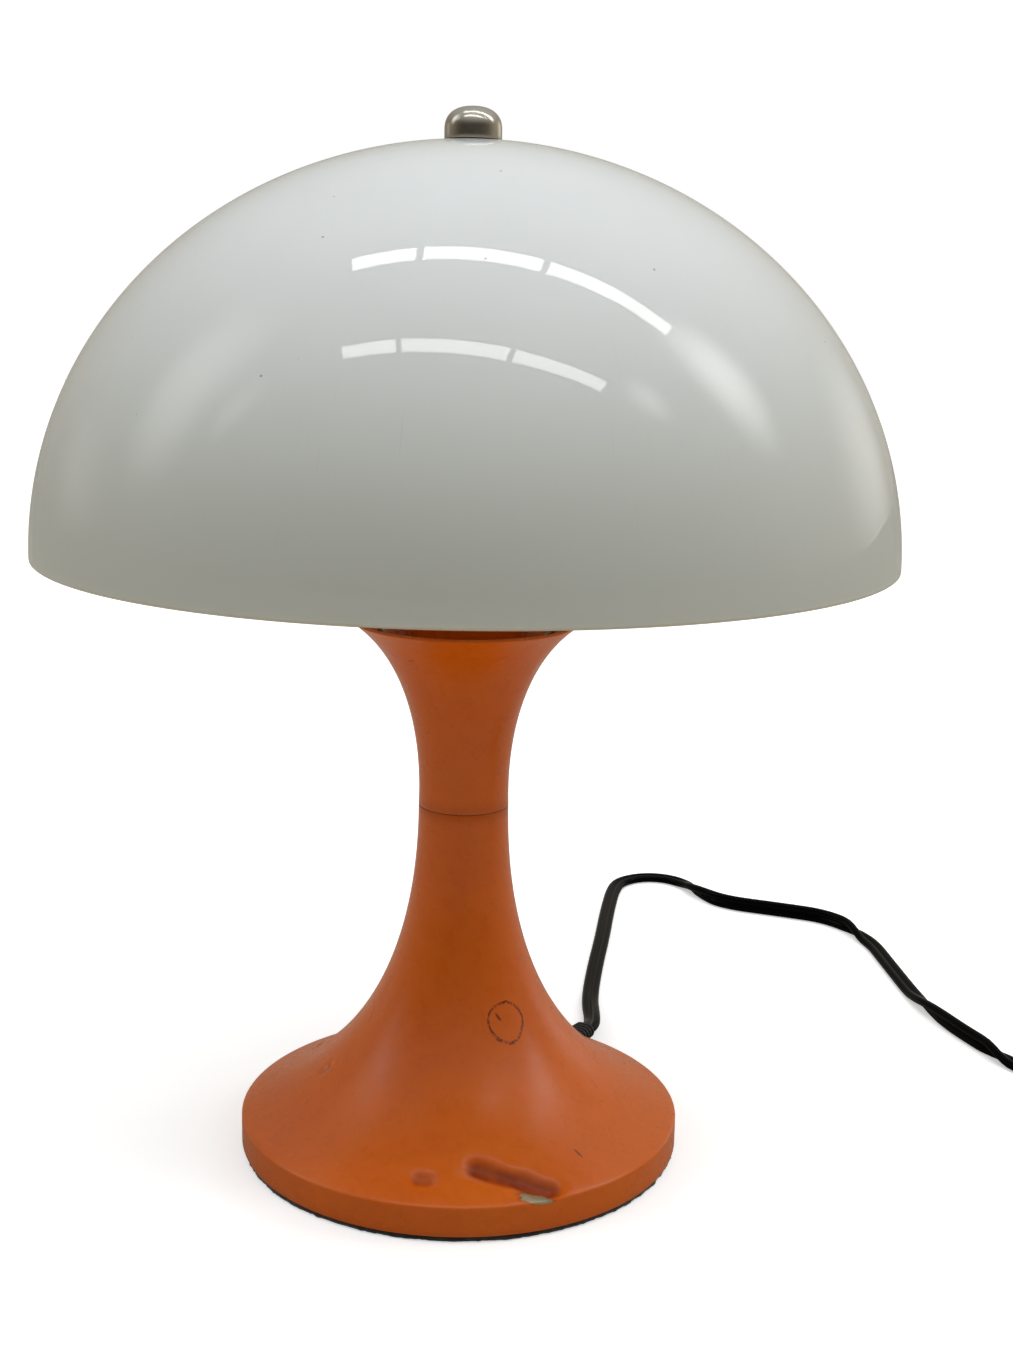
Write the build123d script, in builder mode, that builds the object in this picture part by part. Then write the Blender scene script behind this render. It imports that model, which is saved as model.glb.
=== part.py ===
from build123d import *

import os
from math import cos, pi, radians, sin, sqrt, tan

# A mushroom table lamp: an opal acrylic dome carried by a harp over a spun, painted metal trumpet stem,
# with its lampholder, bulb, weighted base, flat twin lead, in-line switch and two-pin plug.
# Lengths are in millimetres. +Z is up, -Y faces the viewer, and the origin is the middle of the
# base's underside, on the table.

# ---------------------------------------------------------------- clearances
slip = 0.05            # radial play of a shaft in its own hole
push = 0.10            # play round a piece that is pushed into its place
seat = 0.10            # gap left under a piece that rests on a piece of another body
free = 0.30            # gap beside a piece that moves past another

# ---------------------------------------------------------------- base
felt_thickness = 2.0
felt_step = 0.3        # the felt stops this far inside the rim
base_radius = 75.6
rim_height = 9.6       # upright band of the base, above the felt
shell_wall = 1.2
foot_pull = 4.4        # how firmly the flare leaves the rim upright
neck_pull = 96.0       # how far the neck's line is held upright as it comes down
neck_radius = 15.2
seam_height = 121.3    # the joint between the lower and the upper trumpet
collar_flange = 0.5    # thickness of the collar's flange, seen as the thin dark line at the seam
collar_step = 0.25     # the flange stops this far inside the neck
collar_reach = 12.0    # how far the collar goes into each trumpet

weight_gap = 0.3
weight_edge = 7.0      # upright edge of the cast disc
weight_thickness = 12.0
weight_slope = 8.0     # run of the sloping shoulder under the flare
hub_radius = 22.0
hub_height = 28.0
pocket_radius = 17.0   # pocket for the bottom nut, from below
pocket_depth = 20.0
groove_height = 6.6    # groove for the lead, from below

tube_radius = 5.0
tube_bore = 4.0
tube_spare = 1.0       # tube that stands out past a nut
nut_across = 17.0
nut_thickness = 5.0
thin_nut = 4.0
washer_radius = 14.0
washer_thickness = 1.5

# ---------------------------------------------------------------- upper trumpet and what it holds
lip_radius = 37.6
lip_height = 184.0
lip_angle = 36.4       # slope of the lip, above level
trumpet_pull = 3.25
lip_pull = 31.3
support_height = 160.0
support_thickness = 1.5

saddle_thickness = 1.5
saddle_width = 8.0
saddle_inset = 1.8     # the saddle's bends lie this far inside the disc's edge
saddle_pass = 6.8      # the saddle's arms pass this far inside the trumpet's lip
saddle_pad = 11.0      # radius of the round pad that the nut clamps
harp_half = 38.0
socket_radius = 2.9
socket_height = 11.0
socket_floor = 3.0
socket_rise = 33.0     # from the saddle's level middle up to the sockets
harp_wire = 1.75
harp_shoulder = 31.0
sleeve_wall = 1.5
sleeve_height = 8.0
boss_radius = 6.0
boss_height = 8.0
stud_radius = 3.0
stud_spare = 5.8       # stud that reaches up into the finial

# ---------------------------------------------------------------- lampholder, E27
holder_radius = 20.0
holder_neck = 9.0
holder_neck_height = 3.5
holder_cone_top = 11.5
cap_height = 23.0
cap_wall = 1.5
cap_floor = 4.0
ledge_radius = 17.0
ledge_height = 17.0    # the insert rests on this ledge
sleeve_length = 30.0   # outer sleeve of the lampholder
screw_bore = 13.5
screw_wall = 0.45
screw_length = 26.0
screw_flange = 2.5
screw_floor = 0.5
terminal_reach = 11.0  # from the axis to the middle of a terminal
terminal_side = 6.0
terminal_height = 5.0
rivet_radius = 1.5
leaf_width = 5.0
leaf_thickness = 0.6
leaf_rise = 1.1
leaf_run = 4.4         # length of the leaf's sloping end
screw_radius = 1.25
screw_head = 2.2
screw_head_height = 1.5

# ---------------------------------------------------------------- bulb
bulb_radius = 30.0
bulb_length = 105.0
bulb_cap_radius = screw_bore - free
bulb_cap_length = 20.0
bulb_contact_radius = 4.5
bulb_contact_height = 1.2
insulator_height = 4.0
bulb_wall = 0.8
bulb_neck_radius = 12.6
bulb_neck_pull = 0.4   # share of the neck's rise over which the glass stays straight
bulb_bulge_pull = 0.45
bulb_tuck = 3.0        # glass that is cemented inside the cap
cap_metal = 0.4
stem_flare = 9.0       # height of the glass flare that joins the stem to the neck
stem_radius = 3.0
stem_length = 28.0
filament_wire = 0.4
filament_half = 14.0
filament_rise = 20.0

# ---------------------------------------------------------------- shade and finial
shade_radius = 140.0
shade_height = 130.8
shade_wall = 3.0
rim_z = 207.1          # height of the shade's rim above the table
shade_hole = 3.3
seat_washer_radius = 12.0
seat_washer_thickness = 1.5
top_washer_radius = 8.5
top_washer_thickness = 0.6
finial_radius = 9.7
finial_height = 9.4
finial_band = 2.2      # upright band under the finial's dome
insert_radius = 5.0
insert_height = 7.2

# ---------------------------------------------------------------- flat twin lead
lead_width = 7.0       # across both cores
core_radius = 1.2
core_pitch = 2.8       # between the two cores
core_climb = 8.0       # arc that each core takes up into the tube
exit_angle = 59.0      # where the lead leaves the rim, from +X towards +Y
exit_height = 5.3
relief_flange_width = 13.0
relief_flange_height = 8.4
relief_flange = 2.0
relief_barrel_width = 10.4
relief_barrel_height = 5.2
relief_barrel = 3.0
relief_tail = 18.0
relief_tip_width = 9.2
relief_tip_height = 7.4
relief_slot_width = 7.2
relief_slot_height = 3.8

lead_z = lead_width / 2
exit_run = 18.0        # the lead's straight run out of the relief
lead_ease = 16.0       # straight run beside a switch, coil or plug before the lead changes height
coil_pitch = 7.6       # between turns, and between layers
coil_radius = 44.0
half_turns = 4         # half turns in each layer, besides the one that climbs
coil_centre = (290.0, -120.0)

# ---------------------------------------------------------------- in-line switch
switch_centre = (coil_centre[0] - coil_radius, -39.0)
switch_length = 62.0
switch_width = 27.0
switch_height = 18.0
switch_split = 6.0     # the two halves meet at the height of the lead's axis
switch_wall = 2.0
switch_end_wall = 6.0
switch_corner = 8.0
switch_edge = 2.0
boss_x = 15.0
boss_y = 8.2
boss_post = 2.6
tap_radius = 1.2
head_radius = 2.3
head_height = 1.4
head_sink = 2.0
tap_length = 11.0
rocker_reach = 8.3
rocker_width = 10.0
rocker_tilt = 9.0
rocker_valley = 2.0    # how far above the pivot the rocker's two faces meet
rocker_depth = 3.4
pivot_height = 16.2
pivot_radius = 1.0
lug_length = 6.0
lug_thickness = 2.7
lug_drop = 3.2
contact_length = 6.0
contact_width = 6.0
contact_height = 7.0
arm_length = 8.0
arm_width = 4.0
arm_thickness = 0.6

# ---------------------------------------------------------------- two-pin plug
guard_length = 20.0
guard_tip = 4.3
guard_root = 5.6
plug_length = 30.0
plug_rear_width = 15.0
plug_rear_height = 12.0
plug_width = 35.0
plug_height = 13.7
plug_corner = 5.5
pin_pitch = 18.6
pin_radius = 2.0
pin_sleeve_radius = 1.8
pin_core = 1.4
pin_root = 6.0
pin_sleeve = 10.0
pin_tip = 9.0
plug_run = 51.0        # from the end of the coil's last turn to the plug's guard

# ---------------------------------------------------------------- heights and lines worked out
rim_top = felt_thickness + rim_height
lower_seam = seam_height - collar_flange / 2
upper_seam = seam_height + collar_flange / 2
pocket_top = felt_thickness + pocket_depth
tube_bottom = pocket_top - washer_thickness - nut_thickness - tube_spare
saddle_bottom = support_height + support_thickness
nut_seat = saddle_bottom + saddle_thickness
holder_z = nut_seat + thin_nut
tube_top = holder_z + cap_floor + tube_spare
insert_z = holder_z + ledge_height
sleeve_z = holder_z + cap_height
insert_thickness = cap_height - ledge_height
bulb_z = sleeve_z + leaf_thickness + leaf_rise + seat
bulb_cap_z = bulb_z + bulb_contact_height + insulator_height
bulb_neck_z = bulb_cap_z + bulb_cap_length
bulb_centre_z = bulb_z + bulb_length - bulb_radius
socket_z = saddle_bottom + socket_rise
harp_foot = socket_z + socket_floor
inner_radius = shade_radius - shade_wall
inner_height = shade_height - shade_wall
seat_washer_top = rim_z + inner_height * sqrt(1 - (seat_washer_radius / inner_radius) ** 2) - seat
boss_top = seat_washer_top - seat_washer_thickness
harp_top = boss_top - boss_height / 2
shade_top = rim_z + shade_height
finial_z = shade_top + top_washer_thickness + seat
stud_top = finial_z + stud_spare

exit_way = Vector(cos(radians(exit_angle)), sin(radians(exit_angle)), 0)
exit_side = Vector(-sin(radians(exit_angle)), cos(radians(exit_angle)), 0)
exit_plane = Plane(origin=(0, 0, exit_height), x_dir=exit_side, z_dir=exit_way)
relief_start = base_radius + slip
relief_end = relief_start + relief_flange + relief_tail
wiring_plane = Plane(origin=(0, 0, 0), x_dir=exit_side, z_dir=(0, 0, 1))


def curve_point(corners, share):
    """A point of the cubic curve that four corners pull."""
    a, b, c, d = corners
    rest = 1 - share
    weights = (rest ** 3, 3 * rest ** 2 * share, 3 * rest * share ** 2, share ** 3)
    return tuple(sum(w * p[k] for w, p in zip(weights, (a, b, c, d))) for k in (0, 1))


def radius_at(corners, height):
    """The radius where a rising curve passes a height."""
    low, high = 0.0, 1.0
    for _ in range(40):
        middle = (low + high) / 2
        if curve_point(corners, middle)[1] < height:
            low = middle
        else:
            high = middle
    return curve_point(corners, (low + high) / 2)[0]


def quarter_oval(half_width, height, bottom):
    """The corners of the curve that follows a quarter of an oval, from its side to its top."""
    pull = 4 / 3 * (sqrt(2) - 1)
    return [(half_width, bottom), (half_width, bottom + pull * height),
            (pull * half_width, bottom + height), (0, bottom + height)]


def bend_radii(points):
    """The largest arc that each corner's two runs allow."""
    runs = [after - before for before, after in zip(points, points[1:])]
    turns = [one.get_angle(two) for one, two in zip(runs, runs[1:])]
    shorter = [min(one.length, two.length) for one, two in zip(runs, runs[1:])]
    return [0.45 * run / tan(radians(turn) / 2) for run, turn in zip(shorter, turns)]


def mitred_strip(points, thickness):
    """The outline of a bent strip whose lower side follows the points."""
    ways = [(Vector(*b) - Vector(*a)).normalized() for a, b in zip(points, points[1:])]
    sides = [Vector(-way.Y, way.X) for way in ways]
    upper = []
    for index, point in enumerate(points):
        before = sides[max(index - 1, 0)]
        after = sides[min(index, len(sides) - 1)]
        lean = before + after
        shift = lean * (2 * thickness / lean.length ** 2)
        upper.append((point[0] + shift.X, point[1] + shift.Y))
    return list(points) + upper[::-1]


def least_gap(wire, diameter, step=2.5):
    """The smallest gap between parts of one tube that lie over four diameters apart along it."""
    count = int(wire.length / step)
    spots = [tuple(wire @ (index / count)) for index in range(count + 1)]
    apart = int(4 * diameter / step)
    nearest = min(
        (a[0] - b[0]) ** 2 + (a[1] - b[1]) ** 2 + (a[2] - b[2]) ** 2
        for index, a in enumerate(spots) for b in spots[index + apart:])
    return sqrt(nearest) - diameter


def report_tube(name, tube, wire, radii):
    """Print a lead's length, its tightest arc, and its volume beside section times length."""
    section = pi * (lead_width / 2) ** 2
    print(name, "length", round(wire.length, 1), "radii", [round(radius) for radius in radii],
          "volume", round(tube.volume), "section x length", round(section * wire.length))


# ================================================================ base
with BuildPart() as felt_pad:
    with BuildSketch():
        Circle(base_radius - felt_step)
    extrude(amount=felt_thickness)

groove_width = relief_barrel_width + 2 * free
weight_radius = base_radius - shell_wall - weight_gap
with BuildPart() as base_weight:
    with BuildSketch(Plane.XZ):
        with BuildLine():
            Polyline(
                (pocket_radius, felt_thickness), (weight_radius, felt_thickness),
                (weight_radius, felt_thickness + weight_edge),
                (weight_radius - weight_slope, felt_thickness + weight_thickness),
                (hub_radius, felt_thickness + weight_thickness),
                (hub_radius, felt_thickness + hub_height),
                (tube_radius + slip, felt_thickness + hub_height),
                (tube_radius + slip, pocket_top), (pocket_radius, pocket_top), close=True)
        make_face()
    revolve(axis=Axis.Z)
    with BuildSketch(Plane(origin=(0, 0, felt_thickness), x_dir=exit_way, z_dir=(0, 0, 1))):
        with Locations((base_radius / 2, 0)):
            Rectangle(base_radius, groove_width)
    extrude(amount=groove_height, mode=Mode.SUBTRACT)

flare_outer = [
    (base_radius, rim_top), (base_radius, rim_top + foot_pull),
    (neck_radius, seam_height - neck_pull), (neck_radius, lower_seam)]
flare_inner = [
    (base_radius - shell_wall, rim_top), (base_radius - shell_wall, rim_top + foot_pull - shell_wall / 2),
    (neck_radius - shell_wall, seam_height - neck_pull - shell_wall / 2),
    (neck_radius - shell_wall, lower_seam)]
with BuildPart() as base_shell:
    with BuildSketch(Plane.XZ):
        with BuildLine():
            Line((base_radius, felt_thickness), flare_outer[0])
            Bezier(*flare_outer)
            Line(flare_outer[-1], flare_inner[-1])
            Bezier(*flare_inner[::-1])
            Polyline(
                flare_inner[0], (base_radius - shell_wall, felt_thickness), (base_radius, felt_thickness))
        make_face()
    revolve(axis=Axis.Z)
    with BuildSketch(exit_plane.offset(base_radius - 2 * shell_wall)):
        SlotOverall(relief_barrel_width + 2 * push, relief_barrel_height + 2 * push)
    extrude(amount=4 * shell_wall, mode=Mode.SUBTRACT)

with BuildPart() as stem_tube:
    with BuildSketch(Plane.XY.offset(tube_bottom)):
        Circle(tube_radius)
        Circle(tube_bore, mode=Mode.SUBTRACT)
    extrude(amount=tube_top - tube_bottom)

with BuildPart() as bottom_washer:
    with BuildSketch(Plane.XY.offset(pocket_top - washer_thickness)):
        Circle(washer_radius)
        Circle(tube_radius + slip, mode=Mode.SUBTRACT)
    extrude(amount=washer_thickness)

with BuildPart() as bottom_nut:
    with BuildSketch(Plane.XY.offset(pocket_top - washer_thickness - nut_thickness)):
        RegularPolygon(nut_across / 2, 6, major_radius=False)
        Circle(tube_radius + slip, mode=Mode.SUBTRACT)
    extrude(amount=nut_thickness)

with BuildPart() as neck_collar:
    with BuildSketch(Plane.XY.offset(seam_height - collar_reach)):
        Circle(neck_radius - shell_wall - push)
    extrude(amount=2 * collar_reach)
    with BuildSketch(Plane.XY.offset(lower_seam)):
        Circle(neck_radius - collar_step)
    extrude(amount=collar_flange)
    with BuildSketch(Plane.XY.offset(seam_height - collar_reach)):
        Circle(tube_radius + slip)
    extrude(amount=2 * collar_reach, mode=Mode.SUBTRACT)

# ================================================================ upper trumpet
lip_way = (cos(radians(lip_angle)), sin(radians(lip_angle)))
lip_inward = (-shell_wall * lip_way[1], shell_wall * lip_way[0])
trumpet_outer = [
    (neck_radius, upper_seam), (neck_radius, upper_seam + trumpet_pull),
    (lip_radius - lip_pull * lip_way[0], lip_height - lip_pull * lip_way[1]), (lip_radius, lip_height)]
trumpet_inner = [
    (neck_radius - shell_wall, upper_seam), (neck_radius - shell_wall, upper_seam + trumpet_pull),
    (trumpet_outer[2][0] + lip_inward[0], trumpet_outer[2][1] + lip_inward[1]),
    (lip_radius + lip_inward[0], lip_height + lip_inward[1])]
with BuildPart() as upper_trumpet:
    with BuildSketch(Plane.XZ):
        with BuildLine():
            Bezier(*trumpet_outer)
            Line(trumpet_outer[-1], trumpet_inner[-1])
            Bezier(*trumpet_inner[::-1])
            Line(trumpet_inner[0], trumpet_outer[0])
        make_face()
    revolve(axis=Axis.Z)

# the disc's lower edge bears on the trumpet's inside
support_radius = radius_at(trumpet_inner, support_height) - push
with BuildPart() as support_disc:
    with BuildSketch(Plane.XY.offset(support_height)):
        Circle(support_radius)
        Circle(tube_radius + slip, mode=Mode.SUBTRACT)
    extrude(amount=support_thickness)

with BuildPart() as saddle_nut:
    with BuildSketch(Plane.XY.offset(nut_seat)):
        RegularPolygon(nut_across / 2, 6, major_radius=False)
        Circle(tube_radius + slip, mode=Mode.SUBTRACT)
    extrude(amount=thin_nut)

# ================================================================ harp
saddle_bend = support_radius - saddle_inset
saddle_arm = [
    (saddle_bend, saddle_bottom), (lip_radius - saddle_pass, lip_height),
    (harp_half, socket_z + socket_floor / 2)]
saddle_line = [(-x, z) for x, z in saddle_arm[::-1]] + saddle_arm
with BuildPart() as harp_saddle:
    with BuildSketch(Plane.XZ):
        with BuildLine():
            Polyline(*mitred_strip(saddle_line, saddle_thickness), close=True)
        make_face()
    extrude(amount=saddle_width / 2, both=True)
    with BuildSketch(Plane.XY.offset(saddle_bottom)):
        Circle(saddle_pad)
    extrude(amount=saddle_thickness)
    with BuildSketch(Plane.XY.offset(saddle_bottom)):
        Circle(tube_radius + slip)
    extrude(amount=saddle_thickness, mode=Mode.SUBTRACT)
    with BuildSketch(Plane.XY.offset(socket_z)):
        with Locations((-harp_half, 0), (harp_half, 0)):
            Circle(socket_radius)
    extrude(amount=socket_height)
    with BuildSketch(Plane.XY.offset(harp_foot)):
        with Locations((-harp_half, 0), (harp_half, 0)):
            Circle(harp_wire + slip)
    extrude(amount=socket_height, mode=Mode.SUBTRACT)

with BuildPart() as harp:
    with BuildLine(Plane.XZ) as harp_line:
        FilletPolyline(
            (-harp_half, harp_foot), (-harp_half, harp_top), (harp_half, harp_top), (harp_half, harp_foot),
            radius=harp_shoulder)
    with BuildSketch(Plane.XY.offset(harp_foot)):
        with Locations((-harp_half, 0)):
            Circle(harp_wire)
    sweep(path=harp_line.wire())

with BuildPart() as harp_sleeves:
    with BuildSketch(Plane.XY.offset(socket_z + socket_height)):
        with Locations((-harp_half, 0), (harp_half, 0)):
            Circle(harp_wire + slip + sleeve_wall)
            Circle(harp_wire + slip, mode=Mode.SUBTRACT)
    extrude(amount=sleeve_height)

with BuildPart() as harp_stud:
    with BuildSketch(Plane.XY.offset(boss_top - boss_height)):
        Circle(boss_radius)
    extrude(amount=boss_height)
    with BuildSketch(Plane.XY.offset(boss_top)):
        Circle(stud_radius)
    extrude(amount=stud_top - boss_top)
    with BuildSketch(Plane.YZ.offset(-boss_radius)):
        with Locations((0, harp_top)):
            Circle(harp_wire + slip)
    extrude(amount=2 * boss_radius, mode=Mode.SUBTRACT)

# ================================================================ lampholder
with BuildPart() as holder_cap:
    with BuildSketch(Plane.XZ):
        with BuildLine():
            Polyline(
                (tube_radius + slip, holder_z), (holder_neck, holder_z),
                (holder_neck, holder_z + holder_neck_height),
                (holder_radius, holder_z + holder_cone_top), (holder_radius, sleeve_z),
                (holder_radius - cap_wall, sleeve_z), (holder_radius - cap_wall, insert_z),
                (ledge_radius, insert_z), (ledge_radius, insert_z - terminal_height),
                (holder_neck - cap_wall, holder_z + cap_floor), (tube_radius + slip, holder_z + cap_floor),
                close=True)
        make_face()
    revolve(axis=Axis.Z)

ceramic_radius = holder_radius - cap_wall - free
side_rivet = screw_bore - rivet_radius
with BuildPart() as holder_insert:
    with BuildSketch(Plane.XY.offset(insert_z)):
        Circle(ceramic_radius)
    extrude(amount=insert_thickness)
    with BuildSketch(wiring_plane.offset(insert_z)):
        with Locations((terminal_reach - terminal_side / 2, 0), (-side_rivet, 0)):
            Circle(rivet_radius + slip)
    extrude(amount=insert_thickness, mode=Mode.SUBTRACT)

with BuildPart() as holder_sleeve:
    with BuildSketch(Plane.XY.offset(sleeve_z)):
        Circle(holder_radius)
        Circle(screw_bore + screw_wall + free, mode=Mode.SUBTRACT)
    extrude(amount=sleeve_length)

with BuildPart() as screw_shell:
    with BuildSketch(Plane.XY.offset(sleeve_z)):
        Circle(screw_bore + screw_wall)
    extrude(amount=screw_length)
    with BuildSketch(Plane.XY.offset(sleeve_z + screw_floor)):
        Circle(screw_bore)
    extrude(amount=screw_length, mode=Mode.SUBTRACT)
    with BuildSketch(Plane.XY.offset(sleeve_z)):
        Circle(screw_bore - screw_flange)
    extrude(amount=screw_floor, mode=Mode.SUBTRACT)

terminal_z = insert_z - terminal_height
leaf_line = [
    (0, sleeve_z + leaf_rise), (leaf_run, sleeve_z), (terminal_reach - screw_radius, sleeve_z)]
with BuildPart() as centre_contact:
    with BuildSketch(Plane(origin=(0, 0, 0), x_dir=exit_side, z_dir=exit_way)):
        with BuildLine():
            Polyline(*mitred_strip(leaf_line, leaf_thickness), close=True)
        make_face()
    extrude(amount=leaf_width / 2, both=True)
    with BuildSketch(wiring_plane.offset(insert_z)):
        with Locations((terminal_reach - terminal_side / 2, 0)):
            Circle(rivet_radius)
    extrude(amount=insert_thickness)
    with BuildSketch(wiring_plane.offset(terminal_z)):
        with Locations((terminal_reach, 0)):
            Rectangle(terminal_side, terminal_side)
    extrude(amount=terminal_height)
    with BuildSketch(Plane(origin=(0, 0, insert_z - terminal_height / 2), x_dir=exit_side, z_dir=exit_way)):
        with Locations((terminal_reach, 0)):
            Circle(screw_radius + slip)
    extrude(amount=-terminal_side, mode=Mode.SUBTRACT)

with BuildPart() as side_contact:
    with BuildSketch(wiring_plane.offset(insert_z)):
        with Locations((-side_rivet, 0)):
            Circle(rivet_radius)
    extrude(amount=insert_thickness)
    with BuildSketch(wiring_plane.offset(terminal_z)):
        with Locations((-terminal_reach, 0)):
            Rectangle(terminal_side, terminal_side)
    extrude(amount=terminal_height)
    with BuildSketch(Plane(origin=(0, 0, insert_z - terminal_height / 2), x_dir=exit_side, z_dir=exit_way)):
        with Locations((-terminal_reach, 0)):
            Circle(screw_radius + slip)
    extrude(amount=-terminal_side, mode=Mode.SUBTRACT)

screw_plane = Plane(origin=(0, 0, insert_z - terminal_height / 2), x_dir=exit_side, z_dir=-exit_way)
with BuildPart() as terminal_screws:
    with BuildSketch(screw_plane):
        with Locations((terminal_reach, 0), (-terminal_reach, 0)):
            Circle(screw_radius)
    extrude(amount=terminal_side / 2)
    with BuildSketch(screw_plane.offset(terminal_side / 2)):
        with Locations((terminal_reach, 0), (-terminal_reach, 0)):
            Circle(screw_head)
    extrude(amount=screw_head_height)

# ================================================================ bulb
with BuildPart() as bulb_contact:
    with BuildSketch(Plane.XY.offset(bulb_z)):
        Circle(bulb_contact_radius)
    extrude(amount=bulb_contact_height)

with BuildPart() as bulb_insulator:
    with BuildSketch(Plane.XY.offset(bulb_z + bulb_contact_height)):
        Circle(bulb_contact_radius)
    with BuildSketch(Plane.XY.offset(bulb_cap_z)):
        Circle(bulb_cap_radius - 2 * cap_metal)
    loft()

with BuildPart() as bulb_cap:
    with BuildSketch(Plane.XY.offset(bulb_cap_z)):
        Circle(bulb_cap_radius)
    extrude(amount=bulb_cap_length)
    with BuildSketch(Plane.XY.offset(bulb_cap_z + cap_metal)):
        Circle(bulb_cap_radius - cap_metal)
    extrude(amount=bulb_cap_length, mode=Mode.SUBTRACT)

neck_rise = bulb_centre_z - bulb_neck_z
glass_outer = [
    (bulb_neck_radius, bulb_neck_z), (bulb_neck_radius, bulb_neck_z + neck_rise * bulb_neck_pull),
    (bulb_radius, bulb_centre_z - neck_rise * bulb_bulge_pull), (bulb_radius, bulb_centre_z)]
glass_inner = [(radius - bulb_wall, height) for radius, height in glass_outer]
with BuildPart() as bulb_glass:
    with BuildSketch(Plane.XZ):
        with BuildLine():
            Line((bulb_neck_radius, bulb_neck_z - bulb_tuck), glass_outer[0])
            Bezier(*glass_outer)
            CenterArc((0, bulb_centre_z), bulb_radius, 0, 90)
            Line((0, bulb_centre_z + bulb_radius), (0, bulb_centre_z + bulb_radius - bulb_wall))
            CenterArc((0, bulb_centre_z), bulb_radius - bulb_wall, 0, 90)
            Bezier(*glass_inner)
            Polyline(
                glass_inner[0], (bulb_neck_radius - bulb_wall, bulb_neck_z - bulb_tuck),
                (bulb_neck_radius, bulb_neck_z - bulb_tuck))
        make_face()
    revolve(axis=Axis.Z)

stem_z = bulb_neck_z - bulb_tuck
with BuildPart() as bulb_stem:
    with BuildSketch(Plane.XY.offset(stem_z)):
        Circle(bulb_neck_radius - bulb_wall - push)
    with BuildSketch(Plane.XY.offset(stem_z + stem_flare)):
        Circle(stem_radius)
    loft()
    with BuildSketch(Plane.XY.offset(stem_z + stem_flare)):
        Circle(stem_radius)
    extrude(amount=stem_length - stem_flare)

filament_z = stem_z + stem_length
filament_lead = stem_radius - 2 * filament_wire
with BuildPart() as bulb_filament:
    with BuildLine(Plane.XZ) as filament_line:
        FilletPolyline(
            (-filament_lead, filament_z), (-filament_lead, filament_z + stem_radius),
            (-filament_half, filament_z + filament_rise), (0, filament_z + filament_rise + stem_radius),
            (filament_half, filament_z + filament_rise), (filament_lead, filament_z + stem_radius),
            (filament_lead, filament_z), radius=2 * filament_wire)
    with BuildSketch(Plane.XY.offset(filament_z)):
        with Locations((-filament_lead, 0)):
            Circle(filament_wire)
    sweep(path=filament_line.wire())

# ================================================================ shade and finial
with BuildPart() as shade:
    with BuildSketch(Plane.XZ):
        with BuildLine():
            outer = Bezier(*quarter_oval(shade_radius, shade_height, rim_z))
            inner = Bezier(*quarter_oval(inner_radius, inner_height, rim_z))
            Line(outer @ 0, inner @ 0)
            Line(outer @ 1, inner @ 1)
        make_face()
        with Locations((0, rim_z + shade_height)):
            Rectangle(2 * shade_hole, shade_height, mode=Mode.SUBTRACT)
    revolve(axis=Axis.Z)

with BuildPart() as seat_washer:
    with BuildSketch(Plane.XY.offset(boss_top)):
        Circle(seat_washer_radius)
        Circle(stud_radius + slip, mode=Mode.SUBTRACT)
    extrude(amount=seat_washer_thickness)

with BuildPart() as top_washer:
    with BuildSketch(Plane.XY.offset(shade_top)):
        Circle(top_washer_radius)
        Circle(shade_hole, mode=Mode.SUBTRACT)
    extrude(amount=top_washer_thickness)

with BuildPart() as finial_insert:
    with BuildSketch(Plane.XY.offset(finial_z)):
        Circle(insert_radius)
    extrude(amount=insert_height)
    with BuildSketch(Plane.XY.offset(finial_z)):
        Circle(stud_radius + slip)
    extrude(amount=stud_spare + free, mode=Mode.SUBTRACT)

with BuildPart() as finial_cap:
    with BuildSketch(Plane.XZ):
        with BuildLine():
            TangentArc(
                (0, finial_z + finial_height), (finial_radius, finial_z + finial_band), tangent=(1, 0))
            Polyline(
                (0, finial_z + finial_height), (0, finial_z + insert_height + push),
                (insert_radius + slip, finial_z + insert_height + push), (insert_radius + slip, finial_z),
                (finial_radius, finial_z), (finial_radius, finial_z + finial_band))
        make_face()
    revolve(axis=Axis.Z)

# ================================================================ lead
with BuildPart() as cord_relief:
    with BuildSketch(exit_plane.offset(relief_start)):
        SlotOverall(relief_flange_width, relief_flange_height)
    extrude(amount=relief_flange)
    with BuildSketch(exit_plane.offset(relief_start - relief_barrel)):
        SlotOverall(relief_barrel_width, relief_barrel_height)
    extrude(amount=relief_barrel)
    with BuildSketch(exit_plane.offset(relief_start + relief_flange)):
        SlotOverall(relief_flange_width - relief_flange, relief_flange_height - relief_flange / 4)
    with BuildSketch(exit_plane.offset(relief_end)):
        SlotOverall(relief_tip_width, relief_tip_height)
    loft()
    with BuildSketch(exit_plane.offset(relief_start - relief_barrel)):
        SlotOverall(relief_slot_width, relief_slot_height)
    extrude(amount=relief_end, mode=Mode.SUBTRACT)

core_offsets = (-core_pitch / 2, core_pitch / 2)
core_top = tube_top + 2 * core_radius
with BuildPart() as inner_lead:
    for offset_side in core_offsets:
        side = 1 if offset_side > 0 else -1
        outer_end = exit_way * relief_end + exit_side * offset_side + Vector(0, 0, exit_height)
        below_tube = exit_side * offset_side + Vector(0, 0, exit_height)
        above_tube = exit_side * offset_side + Vector(0, 0, core_top)
        under_terminal = exit_side * (side * terminal_reach) + Vector(0, 0, core_top + core_radius)
        at_terminal = exit_side * (side * terminal_reach) + Vector(0, 0, terminal_z)
        with BuildLine() as core_line:
            FilletPolyline(
                outer_end, below_tube, above_tube, under_terminal, at_terminal,
                radius=[core_climb, 2 * core_radius, 2 * core_radius])
        with BuildSketch(Plane(origin=outer_end, z_dir=-exit_way)):
            Circle(core_radius)
        sweep(path=core_line.wire())

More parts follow.
